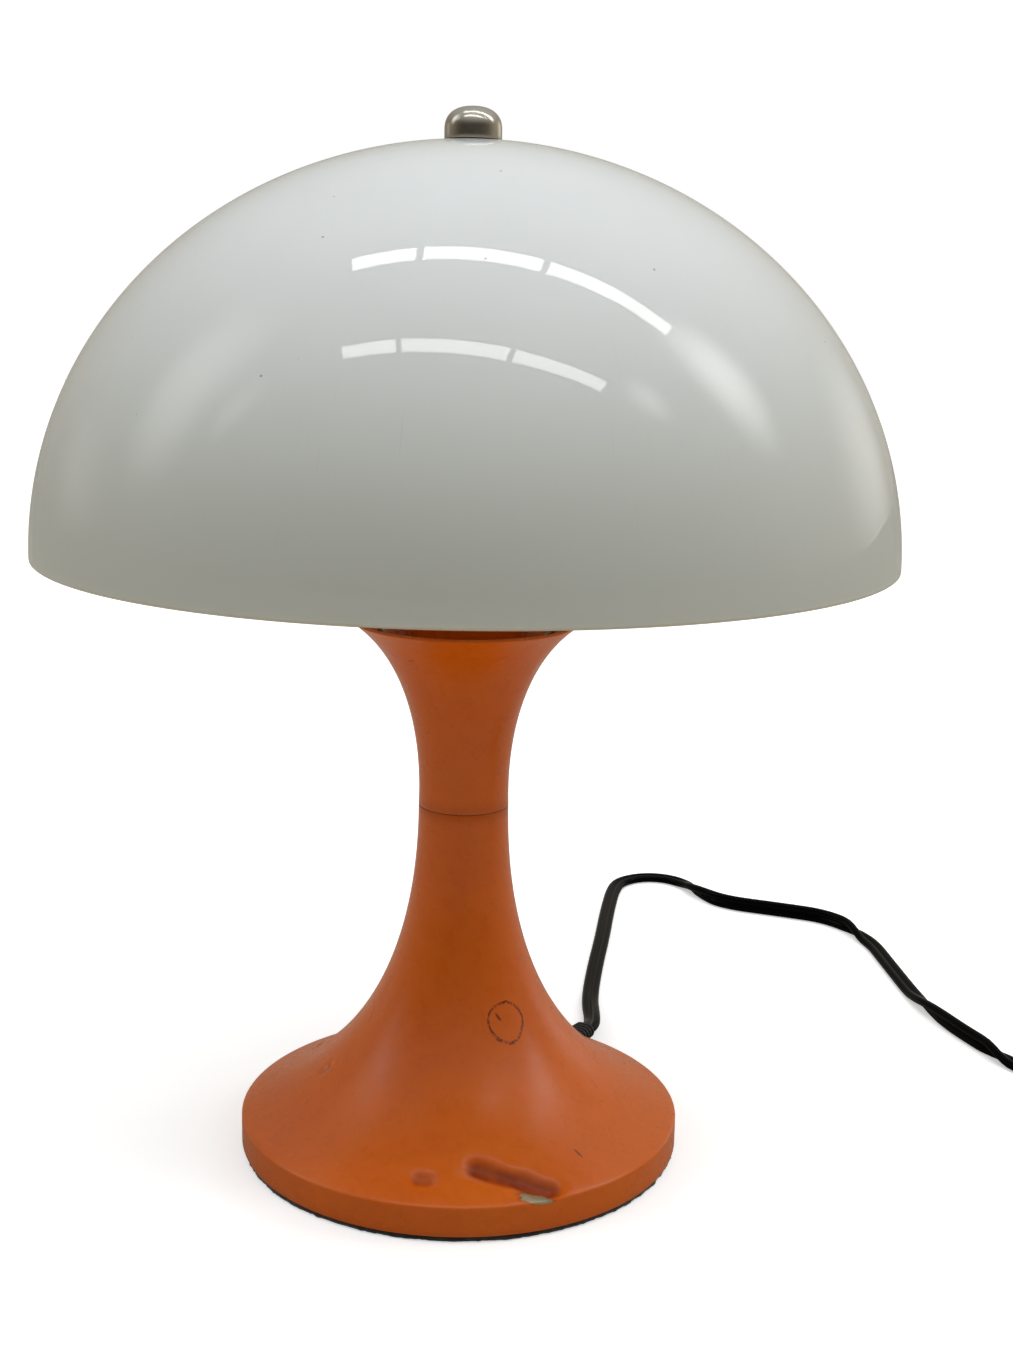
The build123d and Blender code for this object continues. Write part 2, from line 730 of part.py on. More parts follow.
# the lead's route on the table, from the relief's tip to the switch, as it lies in the photograph up to
# its right edge and by guess from there
lead_route = [
    (exit_way * relief_end + Vector(0, 0, exit_height)),
    (exit_way * (relief_end + exit_run) + Vector(0, 0, exit_height)),
    Vector(54, 125, lead_z), Vector(60, 178, lead_z), Vector(67.5, 232, lead_z), Vector(74, 266, lead_z),
    Vector(80, 280, lead_z), Vector(93.6, 288.3, lead_z), Vector(109.6, 287.5, lead_z),
    Vector(122.3, 277.8, lead_z), Vector(128, 259, lead_z), Vector(142, 244.5, lead_z),
    Vector(171, 231, lead_z), Vector(185, 206, lead_z), Vector(189, 168, lead_z), Vector(192, 130, lead_z),
    Vector(200, 94, lead_z), Vector(215, 62, lead_z), Vector(238, 36, lead_z),
    Vector(switch_centre[0], 6, switch_split),
    Vector(switch_centre[0], switch_centre[1] + switch_length / 2 - switch_end_wall * 2, switch_split)]
with BuildPart() as lead_first:
    with BuildLine() as first_line:
        FilletPolyline(*lead_route, radius=bend_radii(lead_route))
    with BuildSketch(Plane(origin=lead_route[0], z_dir=exit_way)):
        Circle(lead_width / 2)
    sweep(path=first_line.wire())
report_tube("lead_first", lead_first.part, first_line.wire(), bend_radii(lead_route))

coil_start = coil_centre[1] + lead_width
second_route = [
    Vector(switch_centre[0], switch_centre[1] - switch_length / 2 + switch_end_wall * 2, switch_split),
    Vector(switch_centre[0], switch_centre[1] - switch_length / 2 + switch_end_wall * 2 - lead_ease,
           switch_split),
    Vector(switch_centre[0], coil_start + lead_ease, lead_z),
    Vector(switch_centre[0], coil_start, lead_z)]
with BuildPart() as lead_second:
    with BuildLine() as second_line:
        FilletPolyline(*second_route, radius=bend_radii(second_route))
    with BuildSketch(Plane(origin=second_route[0], z_dir=(0, -1, 0))):
        Circle(lead_width / 2)
    sweep(path=second_line.wire())
report_tube("lead_second", lead_second.part, second_line.wire(), bend_radii(second_route))

# The put-away coil: half turns that each draw in by half a pitch, a half turn that climbs to the upper
# layer at the smallest radius, and half turns that draw out again. Every half turn starts where the
# last one ended, so the line is smooth.
layer_z = (lead_z, lead_z + coil_pitch)
inner_turn = coil_radius - half_turns / 2 * coil_pitch
climb_reach = sqrt(inner_turn ** 2 + (coil_pitch / 2) ** 2)
with BuildPart() as lead_coil:
    with BuildLine() as coil_line:
        x = -coil_radius
        Line((coil_centre[0] + x, coil_start, layer_z[0]), (coil_centre[0] + x, coil_centre[1], layer_z[0]))
        for turn in range(half_turns):
            way = -1 if turn % 2 == 0 else 1
            radius = coil_radius - turn * coil_pitch / 2
            TangentArc(
                (coil_centre[0] + x, coil_centre[1], layer_z[0]),
                (coil_centre[0] + x - 2 * way * radius, coil_centre[1], layer_z[0]), tangent=(0, way, 0))
            x -= 2 * way * radius
        low_end = (coil_centre[0] - inner_turn, coil_centre[1], layer_z[0])
        halfway = (coil_centre[0], coil_centre[1] - climb_reach, (layer_z[0] + layer_z[1]) / 2)
        high_end = (coil_centre[0] + inner_turn, coil_centre[1], layer_z[1])
        climb = TangentArc(low_end, halfway, tangent=(0, -1, 0))
        TangentArc(halfway, high_end, tangent=climb % 1)
        x = inner_turn
        for turn in range(half_turns):
            way = 1 if turn % 2 == 0 else -1
            radius = inner_turn + (turn + 1) * coil_pitch / 2
            TangentArc(
                (coil_centre[0] + x, coil_centre[1], layer_z[1]),
                (coil_centre[0] + x - 2 * way * radius, coil_centre[1], layer_z[1]), tangent=(0, way, 0))
            x -= 2 * way * radius
        Line((coil_centre[0] + x, coil_centre[1], layer_z[1]), (coil_centre[0] + x, coil_start, layer_z[1]))
    with BuildSketch(Plane(origin=(coil_centre[0] - coil_radius, coil_start, layer_z[0]), z_dir=(0, -1, 0))):
        Circle(lead_width / 2)
    sweep(path=coil_line.wire())
report_tube("lead_coil", lead_coil.part, coil_line.wire(), [coil_radius, inner_turn])
print("coil's least gap to itself", round(least_gap(coil_line.wire(), lead_width), 2))

plug_x = coil_centre[0] + coil_radius
plug_z = plug_height / 2
guard_y = coil_start + plug_run
last_route = [
    Vector(plug_x, coil_start, layer_z[1]), Vector(plug_x, coil_start + lead_ease, layer_z[1]),
    Vector(plug_x, guard_y - lead_ease, plug_z), Vector(plug_x, guard_y, plug_z)]
with BuildPart() as lead_last:
    with BuildLine() as last_line:
        FilletPolyline(*last_route, radius=bend_radii(last_route))
    with BuildSketch(Plane(origin=last_route[0], z_dir=(0, 1, 0))):
        Circle(lead_width / 2)
    sweep(path=last_line.wire())
report_tube("lead_last", lead_last.part, last_line.wire(), bend_radii(last_route))
whole_lead = first_line.wire().length + second_line.wire().length + coil_line.wire().length
whole_lead += last_line.wire().length + switch_length - 4 * switch_end_wall
print("whole lead", round(whole_lead, 1))

# ================================================================ in-line switch
switch_plane = Plane(origin=(*switch_centre, 0), x_dir=(0, -1, 0), z_dir=(0, 0, 1))
switch_side = Plane(origin=(*switch_centre, 0), x_dir=(0, -1, 0), z_dir=(-1, 0, 0))
switch_way = Plane(origin=(*switch_centre, switch_split), x_dir=(-1, 0, 0), z_dir=(0, -1, 0))
post_places = [(boss_x, boss_y), (-boss_x, -boss_y)]
cavity_length = switch_length - 2 * switch_end_wall
cavity_width = switch_width - 2 * switch_wall
cavity_corner = switch_corner - switch_wall
roof = switch_height - switch_wall

with BuildPart() as switch_tray:
    with BuildSketch(switch_plane):
        RectangleRounded(switch_length, switch_width, switch_corner)
    extrude(amount=switch_split)
    chamfer(switch_tray.faces().sort_by(Axis.Z)[0].outer_wire().edges(), switch_wall / 4)
    with BuildSketch(switch_plane.offset(switch_wall)):
        RectangleRounded(cavity_length, cavity_width, cavity_corner)
    extrude(amount=switch_split, mode=Mode.SUBTRACT)
    with BuildSketch(switch_plane.offset(switch_wall)):
        with Locations(*post_places):
            Circle(boss_post)
    extrude(amount=switch_split - switch_wall)
    with BuildSketch(switch_way.offset(-switch_length / 2)):
        Circle(lead_width / 2 + push)
    extrude(amount=switch_length, mode=Mode.SUBTRACT)
    with BuildSketch(switch_plane):
        with Locations(*post_places):
            Circle(tap_radius + slip)
    extrude(amount=switch_split, mode=Mode.SUBTRACT)
    with BuildSketch(switch_plane):
        with Locations(*post_places):
            Circle(head_radius + push)
    extrude(amount=head_sink, mode=Mode.SUBTRACT)

with BuildPart() as switch_cover:
    with BuildSketch(switch_plane.offset(switch_split)):
        RectangleRounded(switch_length, switch_width, switch_corner)
    extrude(amount=switch_height - switch_split)
    fillet(switch_cover.faces().sort_by(Axis.Z)[-1].outer_wire().edges(), switch_edge)
    with BuildSketch(switch_plane.offset(switch_split)):
        RectangleRounded(cavity_length, cavity_width, cavity_corner)
    extrude(amount=roof - switch_split, mode=Mode.SUBTRACT)
    with BuildSketch(switch_plane.offset(roof - lug_drop)):
        with Locations(
                (0, rocker_width / 2 + free + lug_thickness / 2),
                (0, -rocker_width / 2 - free - lug_thickness / 2)):
            Rectangle(lug_length, lug_thickness)
    extrude(amount=lug_drop)
    with BuildSketch(switch_plane.offset(switch_split)):
        with Locations(*post_places):
            Circle(boss_post)
    extrude(amount=roof - switch_split)
    with BuildSketch(switch_plane.offset(roof)):
        Rectangle(2 * (rocker_reach + free), rocker_width + 2 * free)
    extrude(amount=switch_wall, mode=Mode.SUBTRACT)
    with BuildSketch(switch_side):
        with Locations((0, pivot_height)):
            Circle(pivot_radius + slip)
    extrude(amount=rocker_width / 2 + free + lug_thickness, both=True, mode=Mode.SUBTRACT)
    with BuildSketch(switch_way.offset(-switch_length / 2)):
        Circle(lead_width / 2 + push)
    extrude(amount=switch_length, mode=Mode.SUBTRACT)
    with BuildSketch(switch_plane.offset(switch_split)):
        with Locations(*post_places):
            Circle(tap_radius + slip)
    extrude(amount=head_sink + tap_length - switch_split + free, mode=Mode.SUBTRACT)

lean = radians(rocker_tilt)
rocker_plane = Plane(
    origin=(*switch_centre, pivot_height), x_dir=(0, -cos(lean), -sin(lean)), z_dir=(-1, 0, 0))
brow = rocker_reach + rocker_depth      # the cut for the two faces runs past the rocker's ends
with BuildPart() as switch_rocker:
    with BuildSketch(rocker_plane):
        Circle(rocker_reach)
        with Locations((0, rocker_reach - rocker_depth)):
            Rectangle(2 * rocker_reach, 2 * rocker_reach, mode=Mode.INTERSECT)
        with BuildLine():
            Polyline(
                (0, rocker_valley), (brow, rocker_valley + brow * tan(lean)),
                (brow, 2 * rocker_reach), (-brow, 2 * rocker_reach),
                (-brow, rocker_valley + brow * tan(lean)), close=True)
        make_face(mode=Mode.SUBTRACT)
        Circle(pivot_radius + slip, mode=Mode.SUBTRACT)
    extrude(amount=rocker_width / 2, both=True)

with BuildPart() as switch_pivot:
    with BuildSketch(rocker_plane):
        Circle(pivot_radius)
    extrude(amount=rocker_width / 2 + free + lug_thickness, both=True)

contact_outer = cavity_length / 2 - switch_end_wall
with BuildPart() as switch_contacts:
    for side in (-1, 1):
        with BuildSketch(switch_plane.offset(switch_wall)):
            with Locations((side * (contact_outer - contact_length / 2), 0)):
                Rectangle(contact_length, contact_width)
        extrude(amount=contact_height)
        with BuildSketch(switch_plane.offset(switch_wall + contact_height - arm_thickness)):
            with Locations((side * (contact_outer - contact_length - arm_length / 2), 0)):
                Rectangle(arm_length, arm_width)
        extrude(amount=arm_thickness)

with BuildPart() as switch_screws:
    with BuildSketch(switch_plane.offset(head_sink - head_height)):
        with Locations(*post_places):
            Circle(head_radius)
    extrude(amount=head_height)
    with BuildSketch(switch_plane.offset(head_sink)):
        with Locations(*post_places):
            Circle(tap_radius)
    extrude(amount=tap_length)

# ================================================================ plug
plug_plane = Plane(origin=(plug_x, guard_y, plug_z), x_dir=(-1, 0, 0), z_dir=(0, 1, 0))
pin_places = [(pin_pitch / 2, 0), (-pin_pitch / 2, 0)]
plug_face = guard_length + plug_length

with BuildPart() as plug_guard:
    with BuildSketch(plug_plane):
        Circle(guard_tip)
    with BuildSketch(plug_plane.offset(guard_length)):
        Circle(guard_root)
    loft()

with BuildPart() as plug_body:
    with BuildSketch(plug_plane.offset(guard_length)):
        RectangleRounded(plug_rear_width, plug_rear_height, plug_corner)
    with BuildSketch(plug_plane.offset(plug_face)):
        RectangleRounded(plug_width, plug_height, plug_corner)
    loft()
    with BuildSketch(plug_plane.offset(plug_face - pin_root)):
        with Locations(*pin_places):
            Circle(pin_core + slip)
    extrude(amount=pin_root, mode=Mode.SUBTRACT)

with BuildPart() as plug_pins:
    with BuildSketch(plug_plane.offset(plug_face - pin_root)):
        with Locations(*pin_places):
            Circle(pin_core)
    extrude(amount=pin_root + pin_sleeve)
    with BuildSketch(plug_plane.offset(plug_face + pin_sleeve)):
        with Locations(*pin_places):
            Circle(pin_radius)
    extrude(amount=pin_tip)
    chamfer(plug_pins.faces().sort_by(Axis.Y)[-2:].edges(), pin_radius / 3)

with BuildPart() as plug_sleeves:
    with BuildSketch(plug_plane.offset(plug_face)):
        with Locations(*pin_places):
            Circle(pin_sleeve_radius)
            Circle(pin_core + slip, mode=Mode.SUBTRACT)
    extrude(amount=pin_sleeve)

# ================================================================ labels and files
pieces = {
    "felt_pad": felt_pad, "base_weight": base_weight, "base_shell": base_shell, "stem_tube": stem_tube,
    "bottom_washer": bottom_washer, "bottom_nut": bottom_nut, "neck_collar": neck_collar,
    "upper_trumpet": upper_trumpet, "support_disc": support_disc, "saddle_nut": saddle_nut,
    "harp_saddle": harp_saddle, "harp": harp, "harp_sleeves": harp_sleeves, "harp_stud": harp_stud,
    "holder_cap": holder_cap, "holder_insert": holder_insert, "holder_sleeve": holder_sleeve,
    "screw_shell": screw_shell, "centre_contact": centre_contact, "side_contact": side_contact,
    "terminal_screws": terminal_screws, "bulb_contact": bulb_contact, "bulb_insulator": bulb_insulator,
    "bulb_cap": bulb_cap, "bulb_glass": bulb_glass, "bulb_stem": bulb_stem,
    "bulb_filament": bulb_filament, "shade": shade, "seat_washer": seat_washer, "top_washer": top_washer,
    "finial_insert": finial_insert, "finial_cap": finial_cap, "cord_relief": cord_relief,
    "inner_lead": inner_lead, "lead_first": lead_first, "lead_second": lead_second,
    "lead_coil": lead_coil, "lead_last": lead_last, "switch_tray": switch_tray,
    "switch_cover": switch_cover, "switch_rocker": switch_rocker, "switch_pivot": switch_pivot,
    "switch_contacts": switch_contacts, "switch_screws": switch_screws, "plug_guard": plug_guard,
    "plug_body": plug_body, "plug_pins": plug_pins, "plug_sleeves": plug_sleeves}
os.makedirs("parts", exist_ok=True)
for name, piece in pieces.items():
    piece.part.label = name
    export_step(piece.part, f"parts/{name}.step")
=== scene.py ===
from math import atan2, cos, hypot, pi, radians, sin, tau

import bmesh
import bpy
from bpy.props import FloatProperty, FloatVectorProperty, IntProperty, PointerProperty
from mathutils import Matrix, Vector, noise


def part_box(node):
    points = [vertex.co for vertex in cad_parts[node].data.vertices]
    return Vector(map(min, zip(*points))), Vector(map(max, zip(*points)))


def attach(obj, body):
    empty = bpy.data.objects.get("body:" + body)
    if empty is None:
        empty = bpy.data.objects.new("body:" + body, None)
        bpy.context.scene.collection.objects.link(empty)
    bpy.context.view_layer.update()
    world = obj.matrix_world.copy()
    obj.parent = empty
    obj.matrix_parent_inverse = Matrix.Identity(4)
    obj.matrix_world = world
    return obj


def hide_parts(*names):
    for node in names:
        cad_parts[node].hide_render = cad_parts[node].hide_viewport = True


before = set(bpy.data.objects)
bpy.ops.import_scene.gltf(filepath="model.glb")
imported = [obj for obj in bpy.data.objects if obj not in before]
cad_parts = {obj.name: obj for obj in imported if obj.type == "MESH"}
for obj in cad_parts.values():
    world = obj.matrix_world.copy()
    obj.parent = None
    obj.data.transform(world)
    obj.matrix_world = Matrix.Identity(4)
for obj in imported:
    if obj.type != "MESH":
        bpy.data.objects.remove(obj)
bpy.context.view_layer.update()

bl_info = {
    "name": "Mushroom Table Lamp",
    "version": (1, 0, 0),
    "blender": (4, 5, 0),
    "location": "3D View > Sidebar > Lamp",
    "description": "Dresses the packed model of a mushroom table lamp with its visible pieces and finishes",
    "category": "Object",
}

MM = 0.001

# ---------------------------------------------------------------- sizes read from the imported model
BASE_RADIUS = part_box("base_shell")[1].x
SHADE_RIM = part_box("shade")[0].z


def linear(code):
    """A colour written as an sRGB hex value, in linear light."""
    parts = [int(code[index:index + 2], 16) / 255 for index in (1, 3, 5)]
    return tuple(part / 12.92 if part <= 0.04045 else ((part + 0.055) / 1.055) ** 2.4 for part in parts)


class LampSizes(bpy.types.PropertyGroup):
    """Sizes of the dressed lamp."""
    base_radius: FloatProperty(
        name="Base radius", description="Radius of the base's upright rim",
        default=BASE_RADIUS, unit="LENGTH", subtype="DISTANCE")
    rim_top: FloatProperty(
        name="Rim top", description="Height at which the flare leaves the upright rim",
        default=0.0116, unit="LENGTH", subtype="DISTANCE")
    neck_radius: FloatProperty(
        name="Neck radius", description="Radius of the stem at its narrowest",
        default=0.0152, unit="LENGTH", subtype="DISTANCE")
    shell_wall: FloatProperty(
        name="Metal wall", description="Thickness of the spun metal",
        default=0.0012, unit="LENGTH", subtype="DISTANCE")
    shade_wall: FloatProperty(
        name="Shade wall", description="Thickness of the opal dome",
        default=0.003, unit="LENGTH", subtype="DISTANCE")
    lead_width: FloatProperty(
        name="Lead width", description="Width of the flat twin lead across both cores",
        default=0.007, unit="LENGTH", subtype="DISTANCE")
    dent_depth: FloatProperty(
        name="Dent depth", description="Depth of the long dent at the front of the base",
        default=0.0026, unit="LENGTH", subtype="DISTANCE")
    steps: IntProperty(
        name="Steps", description="Steps round the axis of the base and its felt", default=420, min=48)


class LampColours(bpy.types.PropertyGroup):
    """Colours of the dressed lamp."""
    enamel: FloatVectorProperty(
        name="Enamel", description="Colour of the orange enamel",
        default=linear("#F47210"), subtype="COLOR", size=3, min=0, max=1)
    opal: FloatVectorProperty(
        name="Opal", description="Colour of the opal acrylic dome",
        default=linear("#E3E7E8"), subtype="COLOR", size=3, min=0, max=1)


# ---------------------------------------------------------------- modelling tools
MERGE = 2e-6                # points that lie closer together than this, in metres, are merged
THREAD_PITCH = 3.6286       # how far the bulb's thread climbs in a turn, in mm: an inch in seven turns
materials = {}              # every finish by its material slot


def mm(*values):
    """Millimetres as a vector in metres."""
    return Vector([value * MM for value in values])


def activate(piece):
    """Select one piece alone and make it the active one."""
    bpy.ops.object.select_all(action="DESELECT")
    piece.select_set(True)
    bpy.context.view_layer.objects.active = piece


def new_piece(name, primitive, **settings):
    """Add a primitive with nothing else selected, place it in its mesh and name it."""
    bpy.ops.object.select_all(action="DESELECT")
    getattr(bpy.ops.mesh, "primitive_" + primitive + "_add")(**settings)
    piece = bpy.context.object
    bpy.ops.object.transform_apply(location=True, rotation=True, scale=True)
    piece.name = name
    piece.data.name = name
    return piece


def use_modifier(piece, kind, **settings):
    """Give a piece a modifier and apply it."""
    activate(piece)
    modifier = piece.modifiers.new(kind, kind)
    for setting, value in settings.items():
        setattr(modifier, setting, value)
    bpy.ops.object.modifier_apply(modifier=modifier.name)


def close_skin(piece):
    """Merge doubles, close what is open and turn every face outwards."""
    activate(piece)
    bpy.ops.object.mode_set(mode="EDIT")
    bpy.ops.mesh.select_all(action="SELECT")
    bpy.ops.mesh.remove_doubles(threshold=MERGE)
    bpy.ops.mesh.fill_holes(sides=0)
    bpy.ops.mesh.select_all(action="SELECT")
    bpy.ops.mesh.normals_make_consistent(inside=False)
    bpy.ops.object.mode_set(mode="OBJECT")


def lathe(name, profile, steps, place=(0, 0)):
    """Draw a profile of (radius, height) points in mm by extruding one vertex, and spin it round the axis.

    A profile that ends where it starts makes a ring, and one that starts and ends on the axis is closed."""
    piece = new_piece(name, "plane", size=MM)
    bpy.ops.object.mode_set(mode="EDIT")
    bpy.ops.mesh.select_all(action="SELECT")
    bpy.ops.mesh.merge(type="CENTER")
    bpy.ops.transform.translate(value=mm(profile[0][0], 0, profile[0][1]))
    for before, after in zip(profile, profile[1:]):
        bpy.ops.mesh.extrude_region_move(
            TRANSFORM_OT_translate={"value": mm(after[0] - before[0], 0, after[1] - before[1])})
    bpy.ops.mesh.select_all(action="SELECT")
    bpy.ops.mesh.spin(steps=steps, angle=tau, center=(0, 0, 0), axis=(0, 0, 1))
    bpy.ops.mesh.select_all(action="SELECT")
    bpy.ops.mesh.remove_doubles(threshold=MERGE)
    bpy.ops.mesh.delete_loose(use_verts=True, use_edges=True, use_faces=False)
    bpy.ops.mesh.select_all(action="SELECT")
    bpy.ops.mesh.normals_make_consistent(inside=False)
    bpy.ops.transform.translate(value=mm(place[0], place[1], 0))
    bpy.ops.object.mode_set(mode="OBJECT")
    return piece


def loft(name, rings):
    """Lay a circle on the first ring of points, in mm, and extrude it from ring to ring."""
    piece = new_piece(name, "circle", vertices=len(rings[0]), radius=MM, fill_type="NOTHING")
    bpy.ops.object.mode_set(mode="EDIT")
    mesh = bmesh.from_edit_mesh(piece.data)
    mesh.verts.ensure_lookup_table()
    order = list(range(len(rings[0])))
    for vert, point in zip(mesh.verts, rings[0]):
        vert.co = mm(*point)
    bmesh.update_edit_mesh(piece.data)
    bpy.ops.mesh.select_all(action="SELECT")
    for ring in rings[1:]:
        bpy.ops.mesh.extrude_region_move()
        mesh = bmesh.from_edit_mesh(piece.data)
        mesh.verts.ensure_lookup_table()
        mesh.verts.index_update()
        fresh = []
        for old, point in zip(order, ring):
            source = mesh.verts[old]
            vert = next(other for other in (edge.other_vert(source) for edge in source.link_edges)
                        if other.select)
            vert.co = mm(*point)
            fresh.append(vert.index)
        order = fresh
        bmesh.update_edit_mesh(piece.data)
    bpy.ops.object.mode_set(mode="OBJECT")
    close_skin(piece)
    return piece


def join(name, pieces):
    """Join pieces into the first one."""
    bpy.ops.object.select_all(action="DESELECT")
    for piece in pieces:
        piece.select_set(True)
    bpy.context.view_layer.objects.active = pieces[0]
    bpy.ops.object.join()
    pieces[0].name = name
    pieces[0].data.name = name
    return pieces[0]


def curve_points(corners, count):
    """Points along the cubic curve that four corners pull."""
    points = []
    for step in range(count + 1):
        share = step / count
        rest = 1 - share
        weights = (rest ** 3, 3 * rest ** 2 * share, 3 * rest * share ** 2, share ** 3)
        points.append(tuple(
            sum(weight * corner[axis] for weight, corner in zip(weights, corners)) for axis in (0, 1)))
    return points


def oval_points(height, wide, tall, start, end, count):
    """Points along an oval whose middle is on the axis at a height, between two angles in degrees."""
    turns = [radians(start + (end - start) * step / count) for step in range(count + 1)]
    return [(wide * cos(turn), height + tall * sin(turn)) for turn in turns]


def rounded(width, height, corner):
    """The outline of a rectangle with round corners, with as many points for any size."""
    per_corner = 8
    points = []
    for index, (x_side, y_side) in enumerate(((1, 1), (-1, 1), (-1, -1), (1, -1))):
        for step in range(per_corner):
            angle = pi / 2 * (index + step / (per_corner - 1))
            points.append((x_side * (width / 2 - corner) + corner * cos(angle),
                           y_side * (height / 2 - corner) + corner * sin(angle)))
    return points


def flute(piece, radius, low, high, count, depth, place=(0, 0)):
    """Press upright grooves into the wall that stands at a radius, all in mm."""
    for vert in piece.data.vertices:
        x, y, z = vert.co.x / MM - place[0], vert.co.y / MM - place[1], vert.co.z / MM
        if abs(hypot(x, y) - radius) < 0.2 and low < z < high:
            angle = atan2(y, x)
            fade = min(1.0, (z - low) / 0.8, (high - z) / 0.8)
            reach = radius - depth * fade * (0.5 - 0.5 * cos(count * angle))
            vert.co.x = (place[0] + reach * cos(angle)) * MM
            vert.co.y = (place[1] + reach * sin(angle)) * MM


def roll_thread(piece, inner, outer, low, high, depth, phase=0.0):
    """Press a rolled thread into the walls between two radii, all in mm, or out of them where the depth is
    below zero."""
    for vert in piece.data.vertices:
        x, y, z = (value / MM for value in vert.co)
        radius = hypot(x, y)
        if inner <= radius <= outer and low < z < high:
            angle = atan2(y, x)
            fade = min(1.0, (z - low) / 2.0, (high - z) / 2.0)
            reach = radius - depth * fade * (0.5 - 0.5 * cos(tau * z / THREAD_PITCH - angle + phase))
            vert.co.x = reach * cos(angle) * MM
            vert.co.y = reach * sin(angle) * MM


def finish_piece(piece, slot, body="root", nodes=(), angle=32):
    """Give a piece the material of its slot, smooth it and fix it to its body."""
    activate(piece)
    piece.data.materials.clear()
    piece.data.materials.append(materials[slot])
    bpy.ops.object.shade_smooth_by_angle(angle=radians(angle))
    piece.select_set(False)
    if nodes:
        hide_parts(*nodes)
    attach(piece, body)


def dress_nodes(slot, *names):
    """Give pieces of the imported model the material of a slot."""
    for name in names:
        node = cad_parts[name]
        node.data.materials.clear()
        node.data.materials.append(materials[slot])


# ---------------------------------------------------------------- material tools
def add_node(tree, kind, settings=None, values=None, links=None):
    """Add a shader node with its settings, the values of its sockets and its links."""
    node = tree.nodes.new("ShaderNode" + kind)
    for setting, value in (settings or {}).items():
        setattr(node, setting, value)
    for socket, value in (values or {}).items():
        node.inputs[socket].default_value = value
    for socket, source in (links or {}).items():
        tree.links.new(source, node.inputs[socket])
    return node


def feed(tree, socket, value):
    """Link a socket to another one, or set it to a number or a colour."""
    if isinstance(value, bpy.types.NodeSocket):
        tree.links.new(value, socket)
    else:
        socket.default_value = (*value, 1) if isinstance(value, tuple) else value


def mixed(tree, kind, share, first, second):
    """Mix two colours or numbers, each a socket or a constant."""
    first_socket, second_socket, result = {"RGBA": (6, 7, 2), "FLOAT": (2, 3, 0)}[kind]
    node = add_node(tree, "Mix", {"data_type": kind})
    for socket, value in ((0, share), (first_socket, first), (second_socket, second)):
        feed(tree, node.inputs[socket], value)
    return node.outputs[result]


def maths(tree, operation, *values):
    """Work out a number from others, each a socket or a constant."""
    node = add_node(tree, "Math", {"operation": operation})
    for socket, value in zip(node.inputs, values):
        feed(tree, socket, value)
    return node.outputs[0]


def length_of(tree, way):
    """The length of a vector."""
    return add_node(tree, "VectorMath", {"operation": "LENGTH"}, links={0: way}).outputs[1]


def scaled(colour, *shares):
    """A colour times one share, or times a share each for red, green and blue."""
    return tuple(value * share for value, share in zip(colour, shares if len(shares) == 3 else shares * 3))


def ranged(tree, source, low, high, to_low, to_high, smooth=False):
    """Map a number from one range to another, held at its ends."""
    return add_node(
        tree, "MapRange", {"interpolation_type": "SMOOTHSTEP" if smooth else "LINEAR", "clamp": True},
        {1: low, 2: high, 3: to_low, 4: to_high}, {0: source}).outputs[0]


def grain_noise(tree, where, size, detail=3.0, stretch=(1, 1, 1)):
    """Noise whose lumps have a size in mm, drawn out along the axes where stretch is over 1."""
    mapping = add_node(tree, "Mapping", values={"Scale": [1 / value for value in stretch]},
                       links={"Vector": where})
    return add_node(tree, "TexNoise", values={"Scale": 1 / (size * MM), "Detail": detail, "Roughness": 0.6},
                    links={"Vector": mapping.outputs[0]}).outputs["Fac"]


def spot(tree, where, centre, size, turn=(0, 0, 0), ragged=0.0, lump=1.6, edge=0.15):
    """A mask that is 1 inside an egg of that centre and those half sizes, in mm, with a ragged edge."""
    local = add_node(tree, "Mapping", {"vector_type": "TEXTURE"},
                     {"Location": mm(*centre), "Rotation": turn, "Scale": mm(*size)}, {"Vector": where})
    reach = length_of(tree, local.outputs[0])
    if ragged:
        reach = maths(tree, "MULTIPLY_ADD", grain_noise(tree, where, lump), ragged, reach)
    middle = 1 + ragged / 2
    return ranged(tree, reach, middle - edge, middle + edge, 1, 0, smooth=True)


def axis_lines(tree, where, size, detail):
    """Noise in rings round the axis, with a size in mm along the surface."""
    x, y, z = add_node(tree, "SeparateXYZ", links={0: where}).outputs
    flat = add_node(tree, "CombineXYZ", links={0: x, 1: y}).outputs[0]
    along = maths(tree, "SUBTRACT", z, length_of(tree, flat))
    return add_node(tree, "TexNoise", {"noise_dimensions": "1D"},
                    {"Scale": 1 / (size * MM), "Detail": detail}, {"W": along}).outputs["Fac"]


def laid_over(tree, mask, share, colour, over):
    """Lay one colour over another where a mask says so, up to a share."""
    return mixed(tree, "RGBA", ranged(tree, mask, 0, 1, 0, share), colour, over)


def add_bump(tree, shader, height, depth):
    """Raise the surface where a height map is high, by a depth in mm."""
    bump = add_node(tree, "Bump", values={"Strength": 1.0, "Distance": depth * MM}, links={"Height": height})
    tree.links.new(bump.outputs[0], shader.inputs["Normal"])


def empty_tree(owner):
    """The cleared node tree of a material or a world."""
    owner.use_nodes = True
    owner.node_tree.nodes.clear()
    return owner.node_tree


def start_material(name, **values):
    """A material with a Principled shader, its output and the piece's own coordinates."""
    material = bpy.data.materials.new(name)
    tree = empty_tree(material)
    shader = add_node(tree, "BsdfPrincipled", values={key.replace("_", " "): v for key, v in values.items()})
    add_node(tree, "OutputMaterial", links={0: shader.outputs[0]})
    where = add_node(tree, "TexCoord").outputs["Object"]
    return material, tree, shader, where


